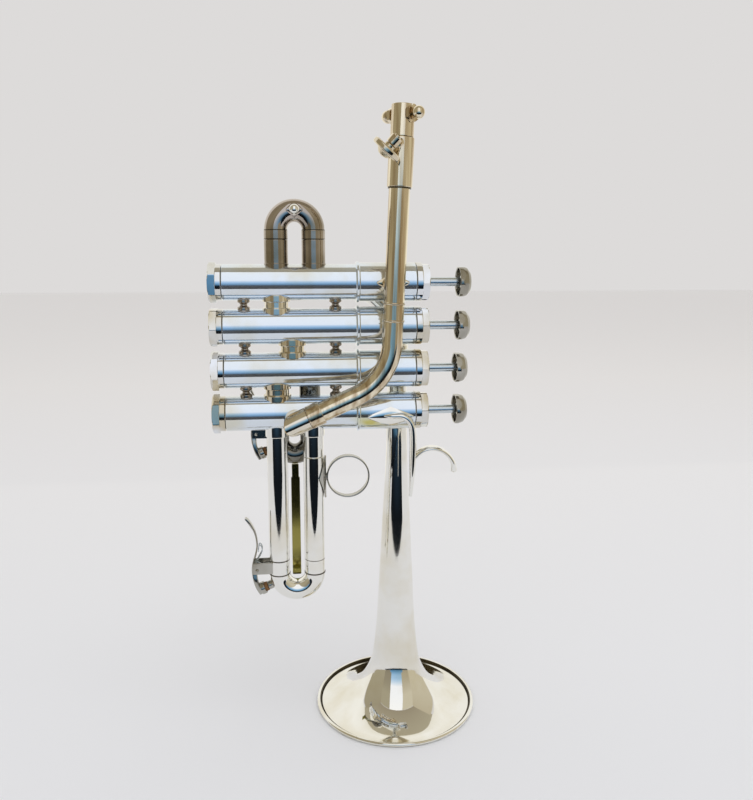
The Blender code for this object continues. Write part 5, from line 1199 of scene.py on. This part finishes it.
def studio():
    """A reflected room: a dark wedge and a blue sweep in front, a white panel over them, tan walls beside."""
    floor()
    near, far, half_near, half_far, left = -0.33, -1.05, 0.40, 1.25, -0.03
    sweep, window = 0.52, 0.40
    sheet("dark_floor", ((left - half_near, near, 0.002), (left + half_near, near, 0.002), (left + half_far, far, 0.002),
                         (left - half_far, far, 0.002)), ((0.0, "#4A708E"), (0.2, "#33506A"), (0.45, "#1B2631"), (0.75, "#12161B")))
    sheet("front_sweep", ((left - sweep, far, 0.0), (left + sweep, far, 0.0), (left + sweep, far, 0.62),
                          (left - sweep, far, 0.62)),
          ((0.0, "#4A708E"), (0.1, "#5F8CB0"), (0.32, "#86AED2"), (0.48, "#A8C8E6"), (0.62, "#C4D8EC"), (0.85, "#F3F5FA")))
    sheet("white_panel", ((left - window, far, 0.62), (left + window, far, 0.62), (left + window, -0.75, 2.2),
                          (left - window, -0.75, 2.2)), ((0.0, "#F3F5FA"), (1.0, "#FAFAFA")))
    sheet("left_front", ((left - half_far, far - 0.02, 0.0), (left - window, far - 0.02, 0.0),
                         (left - window, -0.77, 2.2), (left - half_far, -0.77, 2.2)), ((0.0, "#857D6C"), (0.4, "#A39B84")))
    sheet("right_front", ((left + window, far - 0.02, 0.0), (left + half_far, far - 0.02, 0.0),
                          (left + half_far, -0.77, 2.2), (left + window, -0.77, 2.2)), ((0.0, "#A89F8A"), (0.4, "#C6BEA8")))
    sheet("ceiling", ((-1.6, -0.75, 2.2), (1.6, -0.75, 2.2), (1.6, 0.6, 2.2), (-1.6, 0.6, 2.2)),
          ((0.0, "#968C78"), (1.0, "#A8A08A")))
    sheet("left_wall", ((left - half_far, far, 0.03), (-1.5, 0.5, 0.03), (-1.5, 0.5, 2.2), (left - half_far, far, 2.2)),
          ((0.0, "#A39B84"), (1.0, "#9A917A")))
    sheet("right_wall", ((left + half_far, far, 0.03), (1.5, 0.5, 0.03), (1.5, 0.5, 2.2), (left + half_far, far, 2.2)),
          ((0.0, "#C6BEA8"), (1.0, "#B8AE96")))
    sheet("back_wall", ((-1.5, 0.5, 0.0), (1.5, 0.5, 0.0), (1.5, 0.6, 2.2), (-1.5, 0.6, 2.2)),
          ((0.0, "#EDEBE4"), (0.5, "#F2F0EA"), (1.0, "#E6E2D6")))
    world = bpy.data.worlds.new("studio")
    bpy.context.scene.world = world
    world.use_nodes = True
    background = world.node_tree.nodes["Background"]
    background.inputs["Color"].default_value = linear("#DDDBDA")
    background.inputs["Strength"].default_value = 1.0
    lamp = bpy.data.lights.new("overhead", "AREA")
    lamp.size = 1.4
    lamp.energy = 6.6
    obj = bpy.data.objects.new("overhead", lamp)
    bpy.context.collection.objects.link(obj)
    obj.location = (0.3, -0.4, 1.9)
    obj.rotation_euler = Vector((0.3, -0.4, 1.7)).to_track_quat("Z", "Y").to_euler()
    obj.visible_glossy = False


def camera():
    """The photograph's view: a 753 x 800 frame with a focal length of 754 pixels."""
    data = bpy.data.cameras.new("camera")
    data.sensor_width = 36.0
    data.lens = 754.0 / 800.0 * 36.0
    data.shift_y = -0.0199
    obj = bpy.data.objects.new("camera", data)
    bpy.context.collection.objects.link(obj)
    obj.location = BELL_AXIS + Vector((-62.17, -439.91, 283.42)) * MM
    yaw, pitch, roll = math.radians(-6.471), math.radians(-9.955), math.radians(0.081)
    obj.rotation_euler = (Matrix.Rotation(yaw, 3, "Z") @ Matrix.Rotation(math.pi / 2 + pitch, 3, "X")
                          @ Matrix.Rotation(roll, 3, "Z")).to_euler()
    data.clip_start = 0.01
    bpy.context.scene.camera = obj


make_pieces()
studio()
camera()
bpy.context.scene.view_settings.view_transform = "Standard"
